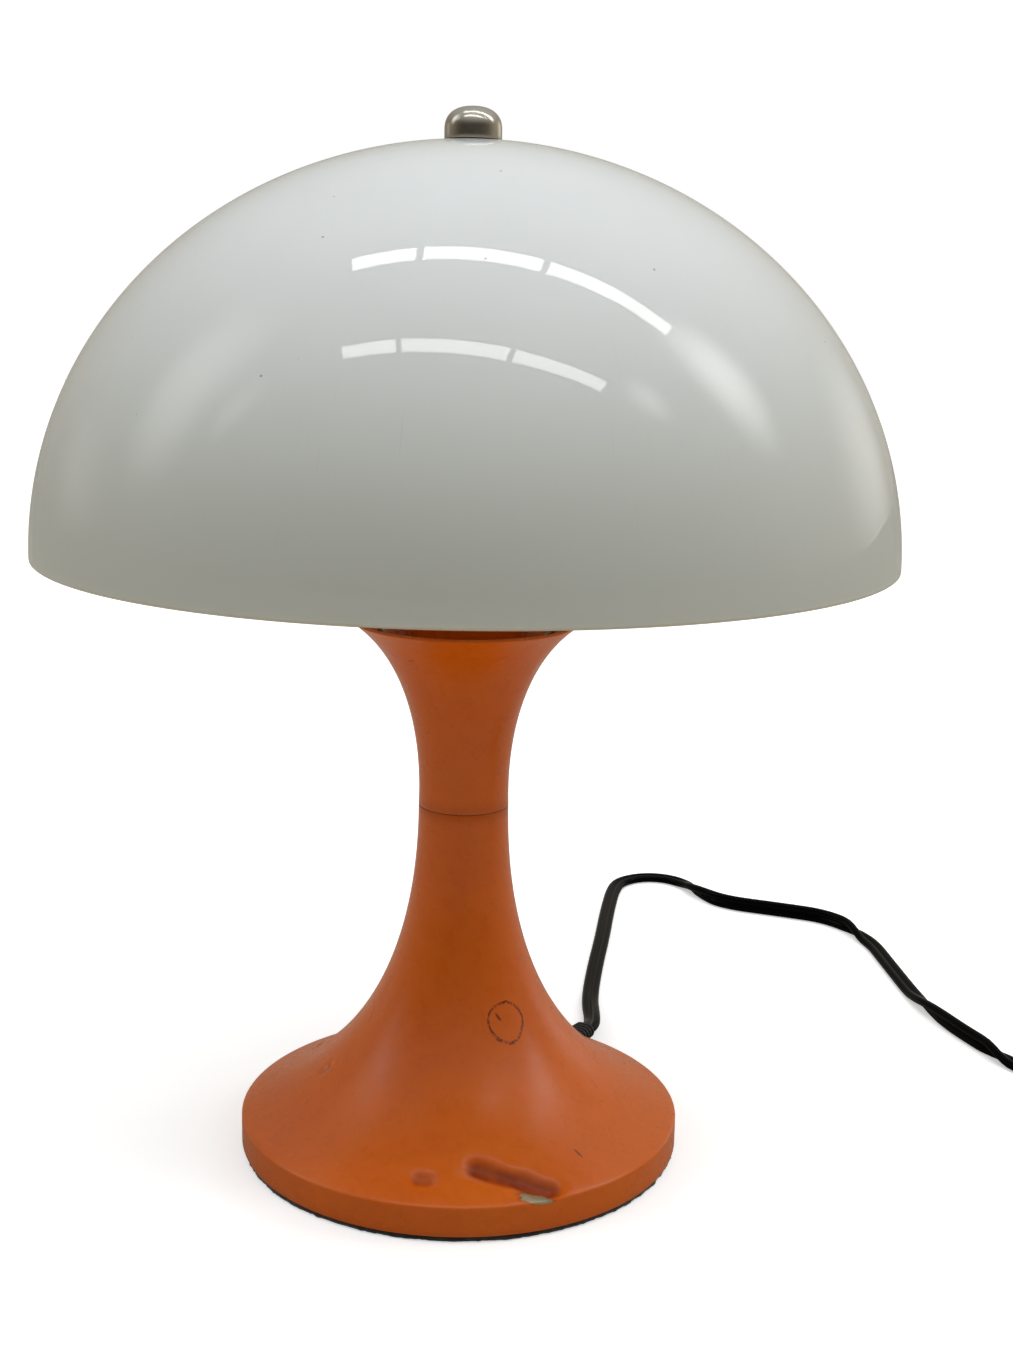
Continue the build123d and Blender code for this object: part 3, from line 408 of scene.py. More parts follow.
def plain_finish(name, colour, roughness, grain, tint, spread, height, **values):
    """A material whose grain, of a size in mm, varies its colour by a tint, its roughness by a spread and
    its height by some mm."""
    material, tree, shader, where = start_material(name, **values)
    lumps = grain_noise(tree, where, grain, 5.0)
    cloud = grain_noise(tree, where, grain * 9, 2.0)
    colour = linear(colour)
    share = ranged(tree, maths(tree, "ADD", lumps, cloud), 0.7, 1.3, 0, 1)
    tree.links.new(mixed(tree, "RGBA", share, scaled(colour, 1 - tint), colour), shader.inputs["Base Color"])
    tree.links.new(ranged(tree, lumps, 0.3, 0.7, roughness - spread / 2, roughness + spread / 2),
                   shader.inputs["Roughness"])
    add_bump(tree, shader, lumps, height)
    return material


SEAM_HEIGHT = 0.1213        # the seam between the two trumpets, in metres like the coordinates
SCUFFS = (
    # centre and half sizes in mm, lean in radians, colour and share
    ((38.9, -50.4, 18.4), (1.8, 2.0, 0.22), 0.6, "#4A2A1C", 0.6),
    ((-17.6, -22.3, 174.8), (1.3, 3.0, 0.3), -0.3, "#5A2A14", 0.4),
    ((12.5, -25.5, 55.0), (1.6, 3.0, 0.4), 0.9, "#3A1A10", 0.7),
    ((-45.9, -12.2, 30.1), (1.0, 2.0, 2.2), 0.0, "#E0A07C", 0.35),
)


def dotted_ring(tree, where):
    """A mask for the ring of dots that a cup or lid left on the flare."""
    centre = (15.4, -25.5, 53.0)
    local = add_node(tree, "Mapping", {"vector_type": "TEXTURE"},
                     {"Location": mm(*centre), "Rotation": (0, 0, radians(31)), "Scale": mm(6.9, 12.0, 6.3)},
                     {"Vector": where})
    parts = add_node(tree, "SeparateXYZ", links={0: local.outputs[0]}).outputs
    ring = length_of(tree, add_node(tree, "CombineXYZ", links={0: parts["X"], 1: parts["Z"]}).outputs[0])
    warp = maths(tree, "MULTIPLY_ADD", grain_noise(tree, where, 4.5, 2.0), 0.36, ring)
    off = maths(tree, "ABSOLUTE", maths(tree, "SUBTRACT", warp, 1.12))
    dots = ranged(tree, grain_noise(tree, where, 0.8, 2.0), 0.40, 0.54, 0.15, 1)
    line = maths(tree, "MULTIPLY", ranged(tree, off, 0.02, 0.10, 1, 0, smooth=True), dots)
    return maths(tree, "MULTIPLY", line, spot(tree, where, centre, (11, 14, 11)))


def make_enamel(colours):
    """Satin enamel sprayed over spun steel: even and saturated, with faint spinning lines, fine orange
    peel, painted shade in the dents and at the foot of the flare, one bare chip, a dotted ring mark and
    small scuffs."""
    material, tree, shader, where = start_material(
        "satin_enamel_on_spun_steel", IOR=1.48, Specular_IOR_Level=0.41)
    enamel = tuple(colours.enamel)
    light = tuple(min(1, value * 1.12 + 0.004) for value in enamel)
    cloud = grain_noise(tree, where, 38, 3.0)
    mottle = grain_noise(tree, where, 6, 1.0)
    colour = mixed(tree, "RGBA", ranged(tree, cloud, 0.35, 0.65, 0, 1, smooth=True),
                   scaled(enamel, 0.95, 0.89, 0.85), enamel)
    colour = mixed(tree, "RGBA", ranged(tree, mottle, 0.35, 0.75, 0.0, 0.35), colour, light)
    # painted shade: a dull brown veil darkens the dents, and a darker band lies by the seam
    dent = add_node(tree, "Attribute", {"attribute_name": "dent"}).outputs["Fac"]
    patches = ranged(tree, grain_noise(tree, where, 7, 2.0), 0.35, 0.6, 0.75, 1.0)
    painted_dent_shade = ranged(tree, maths(tree, "MULTIPLY", dent, patches), 0.1, 1.0, 0, 0.82)
    colour = mixed(tree, "RGBA", painted_dent_shade, colour, linear("#7E1E02"))
    z = add_node(tree, "SeparateXYZ", links={0: where}).outputs["Z"]
    seam = maths(tree, "ABSOLUTE", maths(tree, "SUBTRACT", z, SEAM_HEIGHT))
    colour = mixed(tree, "RGBA", ranged(tree, seam, 0.0003, 0.0055, 0.16, 0, smooth=True), colour,
                   linear("#5A2410"))
    # the long dent's outer end lost its paint and shows pinkish primer round bare grey metal
    primer = spot(tree, where, (24.6, -70.3, 12.5), (6.2, 3.5, 1.25), (0, radians(13), 0), 1.0, 1.4, 0.3)
    bare = spot(tree, where, (25.0, -70.4, 12.3), (5.3, 3.2, 0.95), (0, radians(13), 0), 1.1, 1.0, 0.12)
    # painted highlight: a soft pale patch on the lower lip at the long dent's left end
    dent_lip_highlight = spot(tree, where, (6.5, -65.5, 17.9), (7.0, 3.0, 1.2), (0, radians(8), 0), 0.6, 2.5, 0.6)
    colour = laid_over(tree, primer, 0.6, colour, linear("#7A3A1C"))
    colour = laid_over(tree, dent_lip_highlight, 0.38, colour, linear("#DFA088"))
    colour = mixed(tree, "RGBA", bare, colour, linear("#BDB08E"))
    colour = laid_over(tree, dotted_ring(tree, where), 0.85, colour, linear("#2E150C"))
    for centre, size, lean, shade, share in SCUFFS:
        mark = spot(tree, where, centre, size, (0, lean, 0), 0.9, 1.0)
        colour = laid_over(tree, mark, share, colour, linear(shade))
    # painted shade: the foot of the flare is a little darker
    foot = ranged(tree, z, 0.012, 0.034, 0.16, 0, smooth=True)
    colour = mixed(tree, "RGBA", foot, colour, (0, 0, 0))
    tree.links.new(colour, shader.inputs["Base Color"])
    gloss = ranged(tree, mottle, 0.3, 0.7, 0.25, 0.33)
    gloss = mixed(tree, "FLOAT", dent, gloss, 0.5)
    gloss = mixed(tree, "FLOAT", bare, gloss, 0.55)
    tree.links.new(gloss, shader.inputs["Roughness"])
    tree.links.new(ranged(tree, bare, 0, 1, 0, 0.6), shader.inputs["Metallic"])
    lines = axis_lines(tree, where, 1.6, 0.0)
    peel = grain_noise(tree, where, 3.2, 1.0)
    add_bump(tree, shader, mixed(tree, "FLOAT", 0.55, lines, peel), 0.004)
    return material


def make_opal(colours):
    """Polished opal acrylic, vacuum formed: milky and glossy, with fine scratches that run down the dome,
    a few dark specks and a worn rim."""
    material, tree, shader, where = start_material(
        "polished_opal_acrylic", IOR=1.49, Specular_IOR_Level=0.5, Subsurface_Weight=0.9,
        Subsurface_Radius=(1.0, 0.97, 0.92), Subsurface_Scale=7 * MM)
    opal = tuple(colours.opal)
    cloud = grain_noise(tree, where, 60, 2.0)
    colour = mixed(tree, "RGBA", ranged(tree, cloud, 0.3, 0.7, 0, 1, smooth=True), opal, scaled(opal, 0.975))
    x, y, z = add_node(tree, "SeparateXYZ", links={0: where}).outputs
    # painted shade darkens the dome towards its rim, with a slight yellow tint there from the acrylic's age
    low = ranged(tree, z, SHADE_RIM, SHADE_RIM + 107.9 * MM, 1, 0, smooth=True)
    colour = mixed(tree, "RGBA", low, colour, scaled(opal, 0.78, 0.775, 0.735))
    lines_at = add_node(tree, "CombineXYZ", links={0: maths(tree, "ARCTAN2", y, x), 1: z})
    lean = add_node(tree, "Mapping", values={"Rotation": (0, 0, 0.04), "Scale": (190, 22, 1)},
                    links={0: lines_at.outputs[0]})
    hair = add_node(tree, "TexNoise", values={"Scale": 1.0, "Detail": 1.0},
                    links={"Vector": lean.outputs[0]}).outputs["Fac"]
    worn = ranged(tree, grain_noise(tree, where, 30, 2.0), 0.5, 0.62, 0, 1)
    hair = maths(tree, "MULTIPLY", ranged(tree, hair, 0.70, 0.74, 0, 1), worn)
    hair = maths(tree, "MULTIPLY", hair, low)
    colour = laid_over(tree, hair, 0.4, colour, scaled(opal, 0.62))
    cells = add_node(tree, "TexVoronoi", values={"Scale": 1 / (14 * MM)}, links={"Vector": where})
    specks = ranged(tree, cells.outputs["Distance"], 0.022, 0.034, 0.75, 0)
    colour = mixed(tree, "RGBA", specks, colour, linear("#8C7A66"))
    # the cut edge of the rim is a thin warm line
    edge = ranged(tree, z, SHADE_RIM + 0.1 * MM, SHADE_RIM + 1.0 * MM, 0.75, 0)
    colour = mixed(tree, "RGBA", edge, colour, linear("#B0A183"))
    tree.links.new(colour, shader.inputs["Base Color"])
    fine = grain_noise(tree, where, 0.6, 2.0, (1, 1, 4))
    gloss = mixed(tree, "FLOAT", hair, ranged(tree, fine, 0.35, 0.7, 0.008, 0.03), 0.35)
    tree.links.new(gloss, shader.inputs["Roughness"])
    swell = grain_noise(tree, where, 18, 1.0)
    add_bump(tree, shader, maths(tree, "MULTIPLY_ADD", fine, 0.02, swell), 0.02)
    return material


def make_felt():
    """Pressed wool felt, die cut: matt, with a tangle of fine fibres and lighter fluff."""
    material, tree, shader, where = start_material(
        "pressed_wool_felt", Roughness=0.95, Sheen_Weight=0.35, Sheen_Roughness=0.6)
    fibres = grain_noise(tree, where, 0.5, 6.0, (1, 3, 1))
    cross = grain_noise(tree, where, 0.5, 6.0, (3, 1, 1))
    tangle = mixed(tree, "FLOAT", 0.5, fibres, cross)
    colour = mixed(tree, "RGBA", ranged(tree, tangle, 0.35, 0.7, 0, 1), linear("#101011"), linear("#2E2C2B"))
    tree.links.new(colour, shader.inputs["Base Color"])
    add_bump(tree, shader, tangle, 0.4)
    return material


def make_turned(name, colour, roughness, size, height, tint=0.15):
    """Bare metal turned on a lathe: fine rings round the axis, drawn wide enough to show."""
    material, tree, shader, where = start_material(name, Metallic=1.0)
    rings = axis_lines(tree, where, size, 3.0)
    stain = grain_noise(tree, where, 3.0, 3.0)
    colour = linear(colour)
    share = ranged(tree, mixed(tree, "FLOAT", 0.5, rings, stain), 0.35, 0.65, 0, 1)
    tree.links.new(mixed(tree, "RGBA", share, scaled(colour, 1 - tint), colour), shader.inputs["Base Color"])
    tree.links.new(ranged(tree, stain, 0.3, 0.7, roughness * 0.8, roughness * 1.25),
                   shader.inputs["Roughness"])
    add_bump(tree, shader, rings, height)
    return material


def make_glass(name, colour, roughness, weight, etch):
    """Blown glass, uneven by lumps of a size in mm: fine and milky where its inside was etched, wide and
    clear where it is plain."""
    material, tree, shader, where = start_material(
        name, IOR=1.5, Transmission_Weight=weight, Roughness=roughness)
    swirl = grain_noise(tree, where, 9, 2.0)
    colour = linear(colour)
    tree.links.new(mixed(tree, "RGBA", swirl, scaled(colour, 0.97), colour), shader.inputs["Base Color"])
    add_bump(tree, shader, grain_noise(tree, where, etch, 2.0), 0.01)
    return material


def make_materials(colours):
    """Every finish of the lamp, by its material slot."""
    materials["orange_paint"] = make_enamel(colours)
    materials["opal_acrylic"] = make_opal(colours)
    materials["black_felt"] = make_felt()
    # bright nickel plate over a turned brass cap: warm silver with thin hairlines
    materials["nickel"] = make_turned("bright_nickel_plate", "#B9B2A6", 0.17, 0.25, 0.0015, 0.10)
    # drawn and turned brass, gone dull with age
    materials["brass"] = make_turned("drawn_brass", "#B08A3E", 0.34, 0.5, 0.003, 0.22)
    # turned aluminium, dull and darkened by handling where it shows at the seam
    materials["turned_aluminium"] = make_turned("turned_aluminium", "#6E6660", 0.45, 0.6, 0.004)
    # zinc plate over pressed steel: pale grey with faint cloudy crystals
    materials["zinc_steel"] = plain_finish("zinc_plated_steel", "#A9AAA6", 0.38, 1.2, 0.16, 0.14, 0.004,
                                           Metallic=1.0)
    # grey iron as it left the sand: dark and pebbled
    materials["cast_iron"] = plain_finish("sand_cast_iron", "#3A3938", 0.72, 1.4, 0.3, 0.2, 0.16,
                                          Metallic=0.55)
    # pressed phenolic: near black with a brown cast and faint flow marks
    materials["black_phenolic"] = plain_finish("pressed_phenolic", "#1A1613", 0.34, 2.2, 0.3, 0.12, 0.01,
                                               IOR=1.6)
    # unglazed porcelain: matt, warm white and finely grained
    materials["white_ceramic"] = plain_finish("unglazed_porcelain", "#DAD6CA", 0.62, 0.8, 0.06, 0.1, 0.02,
                                              IOR=1.55)
    # a dab of tin solder: soft grey and lumpy
    materials["solder_tin"] = plain_finish("tin_solder", "#9D9DA0", 0.35, 1.0, 0.15, 0.2, 0.05, Metallic=1.0)
    # black glass cast into the bulb's foot: deep and shiny
    materials["black_glass"] = plain_finish("cast_black_glass", "#08080B", 0.12, 2.0, 0.2, 0.06, 0.01,
                                            IOR=1.6)
    # thin rolled aluminium of the bulb's cap
    materials["bulb_cap_metal"] = make_turned("rolled_aluminium", "#B5B5B6", 0.28, 0.4, 0.003)
    # the envelope's glass, etched white inside, and the plain glass of the mount in it
    materials["frosted_glass"] = make_glass("etched_glass", "#F1F0EA", 0.42, 0.86, 0.8)
    materials["clear_glass"] = make_glass("clear_soda_glass", "#EDF2EF", 0.04, 1.0, 12)
    # drawn tungsten wire: dark grey with die lines
    materials["tungsten"] = plain_finish("drawn_tungsten", "#55534F", 0.4, 0.4, 0.2, 0.1, 0.003, Metallic=1.0)
    # a thin clear plastic washer, slightly hazed
    materials["clear_washer"] = plain_finish("clear_polycarbonate", "#D9D8D2", 0.25, 1.5, 0.05, 0.1, 0.004,
                                             IOR=1.58, Transmission_Weight=0.5)
    # moulded rubber: matt black with a dusty bloom
    materials["black_rubber"] = plain_finish("moulded_rubber", "#17171A", 0.6, 0.9, 0.35, 0.14, 0.02,
                                             IOR=1.52)
    # extruded PVC of the lead: glossy, with long faint die lines and dust
    materials["black_pvc"] = plain_finish("extruded_pvc", "#050506", 0.16, 1.8, 0.4, 0.08, 0.006, IOR=1.5,
                                          Specular_IOR_Level=0.04)
    # thin extruded insulation of the inner cores
    materials["core_insulation"] = plain_finish("extruded_insulation", "#151517", 0.35, 1.2, 0.3, 0.1, 0.01,
                                                IOR=1.53)
    # injection moulded ABS with a fine spark-eroded grain
    materials["black_abs"] = plain_finish("moulded_abs", "#161617", 0.42, 0.5, 0.2, 0.1, 0.018, IOR=1.54)


class LampOperator(bpy.types.Operator):
    """Base of the lamp's operators."""
    bl_options = {"REGISTER", "UNDO"}


# ---------------------------------------------------------------- camera
CAMERA_PLACE = (0.0, -0.604, 0.2954)    # metres
YAW, PITCH, ROLL = radians(1.30), radians(12.1), radians(1.1)
SENSOR = 36.0                           # mm
FOCUS_PIXELS = 1850                     # focal length, in pixels of the photograph
PHOTO_HEIGHT_PIXELS = 1350


class LAMP_OT_camera(LampOperator):
    """Add the camera at the photograph's place and angle"""
    bl_idname = "lamp.add_camera"
    bl_label = "Camera"

    def execute(self, context):
        forward = Vector((sin(YAW) * cos(PITCH), cos(YAW) * cos(PITCH), -sin(PITCH)))
        right = Vector((cos(YAW), -sin(YAW), 0))
        up = right.cross(forward)
        side = cos(ROLL) * right + sin(ROLL) * up
        top = cos(ROLL) * up - sin(ROLL) * right
        data = bpy.data.cameras.new("camera")
        data.sensor_width = SENSOR
        data.sensor_fit = "AUTO"
        data.lens = FOCUS_PIXELS * SENSOR / PHOTO_HEIGHT_PIXELS
        data.clip_start = 0.01
        camera = bpy.data.objects.new("camera", data)
        context.scene.collection.objects.link(camera)
        rows = [(side[axis], top[axis], -forward[axis], CAMERA_PLACE[axis]) for axis in range(3)]
        camera.matrix_world = Matrix((*rows, (0, 0, 0, 1)))
        context.scene.camera = camera
        return {"FINISHED"}


# ---------------------------------------------------------------- the lead
EXIT_ANGLE = radians(59)
EXIT_WAY = Vector((cos(EXIT_ANGLE), sin(EXIT_ANGLE), 0))
EXIT_SIDE = Vector((-sin(EXIT_ANGLE), cos(EXIT_ANGLE), 0))
EXIT_HEIGHT = 5.3
RELIEF_START = 75.65
RELIEF_END = 95.65
LEAD_LOW = 1.8              # height of the lead's middle where it lies flat on the table
LEAD_WAY = (
    # where the lead turns on the table, from the base to the switch
    (53.6, 122), (58.5, 160), (64, 195), (69, 232), (74.5, 266), (79.5, 277.6), (90.4, 284.6),
    (102.6, 283.0), (111.6, 273.6), (114.6, 260), (125, 243), (151, 233), (174, 223), (187, 197), (189, 167),
    (192, 125), (197, 99), (212, 61), (237, 34),
)
LEAD_TWISTS = (
    # a place on the table and the angle at which the flat lead lies there, 90 where it stands on edge
    ((49, 82), 0), ((53.4, 97), 26), ((53.8, 124), 0), ((105, 279), 0), ((123, 246), 90), ((176, 216), 90),
    ((187, 195), 0), ((191, 138), 0), ((199, 96), 90), ((205, 79), 90), ((216, 61), 0), ((246, 6), 0),
    ((246, -20), 0),
)

SWITCH_X, SWITCH_Y = 246.0, -39.0
SWITCH_ENTRY = 6.0          # height of the lead's middle at the switch, and of the housing's parting
COIL_X, COIL_Y = 290.0, -120.0
COIL_RADII = (44.0, 40.2, 36.4, 32.6, 28.8, 32.6, 36.4, 40.2, 44.0)
COIL_STEPS = 8              # points in each half turn
LAYER_LOW, LAYER_HIGH = 3.6, 10.75
LOW_TURNS = 4               # half turns in the lower layer; the next one climbs to the upper layer
COIL_TWISTS = (((246, -58), 0), ((246, -76), 0), ((246, -112), 90))
PLUG_X, PLUG_Z = 334.0, 6.85


def route_line(points, resolution):
    """Points along the smooth line that a route's points pull, in metres."""
    curve = bpy.data.curves.new("route", "CURVE")
    curve.dimensions = "3D"
    curve.resolution_u = resolution
    spline = curve.splines.new("NURBS")
    spline.points.add(len(points) - 1)
    for knot, point in zip(spline.points, points):
        knot.co = (*point, 1)
    spline.order_u = 3
    spline.use_endpoint_u = True
    holder = bpy.data.objects.new("route", curve)
    line = bpy.data.meshes.new_from_object(holder)
    found = [vert.co.copy() for vert in line.vertices]
    bpy.data.objects.remove(holder)
    bpy.data.curves.remove(curve)
    bpy.data.meshes.remove(line)
    return found


def twin_section(width):
    """The lead's outline: two round cores side by side with a groove above and below the web."""
    core = width / 4
    open_angle = 141            # where the web leaves each core, in degrees from its outer side
    steps = 10
    half = []
    for step in range(steps + 1):
        angle = radians(open_angle - 2 * open_angle * step / steps)
        half.append((core + core * cos(angle), core * sin(angle)))
    half.append((0, -0.52 * core))
    return half + [(-x, -y) for x, y in half]


def lay_lead(name, line, twists, width):
    """Sweep the lead's section along a line, twisted as the marks say, and resting on the table."""
    reach = [0.0]
    for before, after in zip(line, line[1:]):
        reach.append(reach[-1] + (after - before).length)
    marks = []
    for place, angle in twists:
        nearest = min(range(len(line)), key=lambda index: (line[index].xy - Vector(place) * MM).length)
        marks.append((reach[nearest], radians(angle)))
    marks.sort()
    section = twin_section(width)
    count = len(section)
    middles, corners = [], []
    for index, point in enumerate(line):
        before, after = line[max(index - 1, 0)], line[min(index + 1, len(line) - 1)]
        way = (after - before).normalized()
        side = way.cross(Vector((0, 0, 1))).normalized()
        up = side.cross(way)
        angle = marks[-1][1]
        for (start, first), (end, second) in zip(marks, marks[1:]):
            if reach[index] <= end:
                share = max(0.0, min(1.0, (reach[index] - start) / max(end - start, 1e-9)))
                angle = first + (second - first) * share * share * (3 - 2 * share)
                break
        # half as high as the lead is here: one core where it lies flat, two where it stands on edge
        rest = width / 4 * (1 + abs(sin(angle)))
        middle = Vector((point.x, point.y, max(point.z, rest)))
        middles.append(middle)
        for x, y in section:
            corners.append(middle + side * (x * cos(angle) - y * sin(angle))
                           + up * (x * sin(angle) + y * cos(angle)))
    faces = [
        (ring * count + step, ring * count + (step + 1) % count,
         (ring + 1) * count + (step + 1) % count, (ring + 1) * count + step)
        for ring in range(len(line) - 1) for step in range(count)]
    faces.append(tuple(range(count)))
    faces.append(tuple((len(line) - 1) * count + step for step in range(count)))
    mesh = bpy.data.meshes.new(name)
    mesh.from_pydata(corners, [], faces)
    piece = bpy.data.objects.new(name, mesh)
    bpy.context.scene.collection.objects.link(piece)
    activate(piece)
    bpy.ops.object.mode_set(mode="EDIT")
    bpy.ops.mesh.select_all(action="SELECT")
    bpy.ops.mesh.normals_make_consistent(inside=False)
    bpy.ops.object.mode_set(mode="OBJECT")
    return piece, middles


def coil_way():
    """The put-away coil in half turns, which wind inwards below and outwards on top."""
    points = []
    x, way = -COIL_RADII[0], -1
    for turn, radius in enumerate(COIL_RADII):
        for step in range(COIL_STEPS):
            angle = pi * step / COIL_STEPS
            climb = min(max(turn - LOW_TURNS + step / COIL_STEPS, 0), 1)
            points.append((COIL_X + x - way * radius * (1 - cos(angle)),
                           COIL_Y + way * radius * sin(angle),
                           LAYER_LOW + (LAYER_HIGH - LAYER_LOW) * climb))
        x -= 2 * way * radius
        way = -way
    return points


class LAMP_OT_lead(LampOperator):
    """Lay the flat twin lead from the base to the switch, and from the switch through its coil to the plug"""
    bl_idname = "lamp.add_lead"
    bl_label = "Lead"

    def execute(self, context):
        width = context.scene.lamp_sizes.lead_width
        start = EXIT_WAY * RELIEF_END
        ease = EXIT_WAY * (RELIEF_END + 5)
        route = [(start.x, start.y, EXIT_HEIGHT), (ease.x, ease.y, EXIT_HEIGHT - 0.6), (53.4, 97, 3.4)]
        route += [(x, y, LEAD_LOW) for x, y in LEAD_WAY]
        route += [(SWITCH_X, 6, SWITCH_ENTRY), (SWITCH_X, -20, SWITCH_ENTRY)]
        line = route_line([mm(*point) for point in route], 14)
        first, first_line = lay_lead("lead_to_switch", line, LEAD_TWISTS, width)
        finish_piece(first, "black_pvc", nodes=["lead_first"], angle=50)
        route = [(SWITCH_X, -58, SWITCH_ENTRY), (SWITCH_X, -74, SWITCH_ENTRY), (SWITCH_X, -97, LAYER_LOW),
                 (SWITCH_X, -113, LAYER_LOW)]
        route += coil_way()
        route += [(PLUG_X, COIL_Y, LAYER_HIGH), (PLUG_X, -113, LAYER_HIGH), (PLUG_X, -97, LAYER_HIGH),
                  (PLUG_X, -78, PLUG_Z), (PLUG_X, -62, PLUG_Z)]
        line = route_line([mm(*point) for point in route], 6)
        second, second_line = lay_lead("lead_to_plug", line, COIL_TWISTS, width)
        finish_piece(second, "black_pvc", nodes=["lead_second", "lead_coil", "lead_last"], angle=50)
        return {"FINISHED"}


def on_exit(ring, distance):
    """Points of a ring that stands across the lead's exit, at a distance from the lamp's axis."""
    return [tuple(EXIT_WAY * distance + EXIT_SIDE * x + Vector((0, 0, EXIT_HEIGHT + y))) for x, y in ring]


class LAMP_OT_relief(LampOperator):
    """Add the ribbed strain relief where the lead leaves the base"""
    bl_idname = "lamp.add_relief"
    bl_label = "Strain relief"

    def execute(self, context):
        # width, height and distance of each ring: the root inside the base, the collar, the ribs, the mouth
        outlines = [(10.4, 5.2, RELIEF_START - 3.0), (10.4, 5.2, RELIEF_START - 0.02),
                    (12.0, 7.0, RELIEF_START), (12.6, 7.6, RELIEF_START + 0.4),
                    (12.6, 7.6, RELIEF_START + 1.5), (11.4, 6.8, RELIEF_START + 2.0)]
        ribs = 8
        length = RELIEF_END - RELIEF_START - 2.0
        steps = ((0.04, 1.2), (0.40, 1.2), (0.48, 0.0), (0.56, -0.1), (0.88, -0.1), (0.96, 0.0))
        for rib in range(ribs):
            for part, groove in steps:
                share = (rib + part) / ribs
                outlines.append((10.6 - 2.0 * share - groove * 0.8, 6.9 - 1.3 * share - groove * 0.8,
                                 RELIEF_START + 2.0 + share * length))
        outlines += [(8.0, 4.6, RELIEF_END), (7.2, 3.8, RELIEF_END), (7.2, 3.8, RELIEF_END - 3.0)]
        piece = loft("relief", [on_exit(rounded(wide, tall, tall / 2), distance)
                                for wide, tall, distance in outlines])
        finish_piece(piece, "black_rubber", nodes=["cord_relief"])
        return {"FINISHED"}


def box_ring(width, length, corner, height):
    """A level ring round the switch's middle."""
    return [(SWITCH_X + x, SWITCH_Y + y, height) for x, y in rounded(width, length, corner)]


class LAMP_OT_switch(LampOperator):
    """Add the in-line switch's upper housing and finish its other pieces"""
    bl_idname = "lamp.add_switch"
    bl_label = "In-line switch"

    def execute(self, context):
        wide, long, corner, shoulder, round_over = 27.0, 62.0, 8.0, 15.2, 2.8
        rings = [box_ring(wide - 0.5, long - 0.5, corner - 0.25, SWITCH_ENTRY),
                 box_ring(wide, long, corner, SWITCH_ENTRY + 0.3), box_ring(wide, long, corner, shoulder)]
        for step in range(1, 7):
            angle = pi / 2 * step / 6
            inset = round_over * (1 - cos(angle))
            rings.append(box_ring(wide - 2 * inset, long - 2 * inset, corner - inset,
                                  shoulder + round_over * sin(angle)))
        # the rocker's sunk frame and opening, then the housing's inside
        rings += [
            box_ring(14.6, 21.2, 2.0, 18.0), box_ring(13.8, 20.4, 1.8, 17.4), box_ring(10.9, 17.5, 0.4, 17.4),
            box_ring(10.6, 17.2, 0.3, 17.1), box_ring(10.6, 17.2, 0.3, 16.0), box_ring(23.0, 50.0, 6.0, 16.0),
            box_ring(23.0, 50.0, 6.0, SWITCH_ENTRY)]
        rings.append(rings[0])
        piece = loft("switch_housing", rings)
        finish_piece(piece, "black_abs", nodes=["switch_cover"], angle=40)
        dress_nodes("black_abs", "switch_tray", "switch_rocker")
        dress_nodes("zinc_steel", "switch_pivot", "switch_screws")
        dress_nodes("brass", "switch_contacts")
        return {"FINISHED"}


def plug_ring(width, height, corner, y):
    """A ring across the plug's axis."""
    return [(PLUG_X + x, y, PLUG_Z + z) for x, z in rounded(width, height, corner)]


class LAMP_OT_plug(LampOperator):
    """Add the flat two-pin plug with its bend guard"""
    bl_idname = "lamp.add_plug"
    bl_label = "Plug"

    def execute(self, context):
        ribs, tail, joint, length = 7, -62.0, -42.0, 20.0
        rings = [plug_ring(8.0, 4.4, 2.2, tail)]
        for rib in range(ribs):
            for part, groove in ((0.05, 0.0), (0.55, 0.0), (0.65, 1.3), (0.95, 1.3)):
                share = (rib + part) / ribs
                size = 8.6 + 2.6 * share - groove
                rings.append(plug_ring(size, size, size / 2, tail + length * share))
        rings.append(plug_ring(11.2, 11.2, 5.6, joint))
        piece = loft("plug_sleeve_guard", rings)
        finish_piece(piece, "black_rubber", nodes=["plug_guard"])
        # the body widens in a soft S, with a slight waist above and below, towards the two pins
        rings = [plug_ring(13.0, 10.6, 4.9, joint), plug_ring(15.0, 12.0, 5.5, -41.0)]
        for step in range(1, 15):
            share = step / 15
            ease = share * share * (3 - 2 * share)
            rings.append(plug_ring(15.0 + 20.0 * ease, 12.0 + 1.7 * share - 1.0 * sin(pi * share), 5.5,
                                   -41.0 + 28.2 * share))
        rings += [plug_ring(35.0, 13.7, 5.5, -12.8), plug_ring(34.4, 13.1, 5.2, -12.2),
                  plug_ring(33.4, 12.2, 4.8, -12.0)]
        piece = loft("plug_housing", rings)
        finish_piece(piece, "black_abs", nodes=["plug_body"], angle=40)
        dress_nodes("nickel", "plug_pins")
        dress_nodes("black_abs", "plug_sleeves")
        return {"FINISHED"}


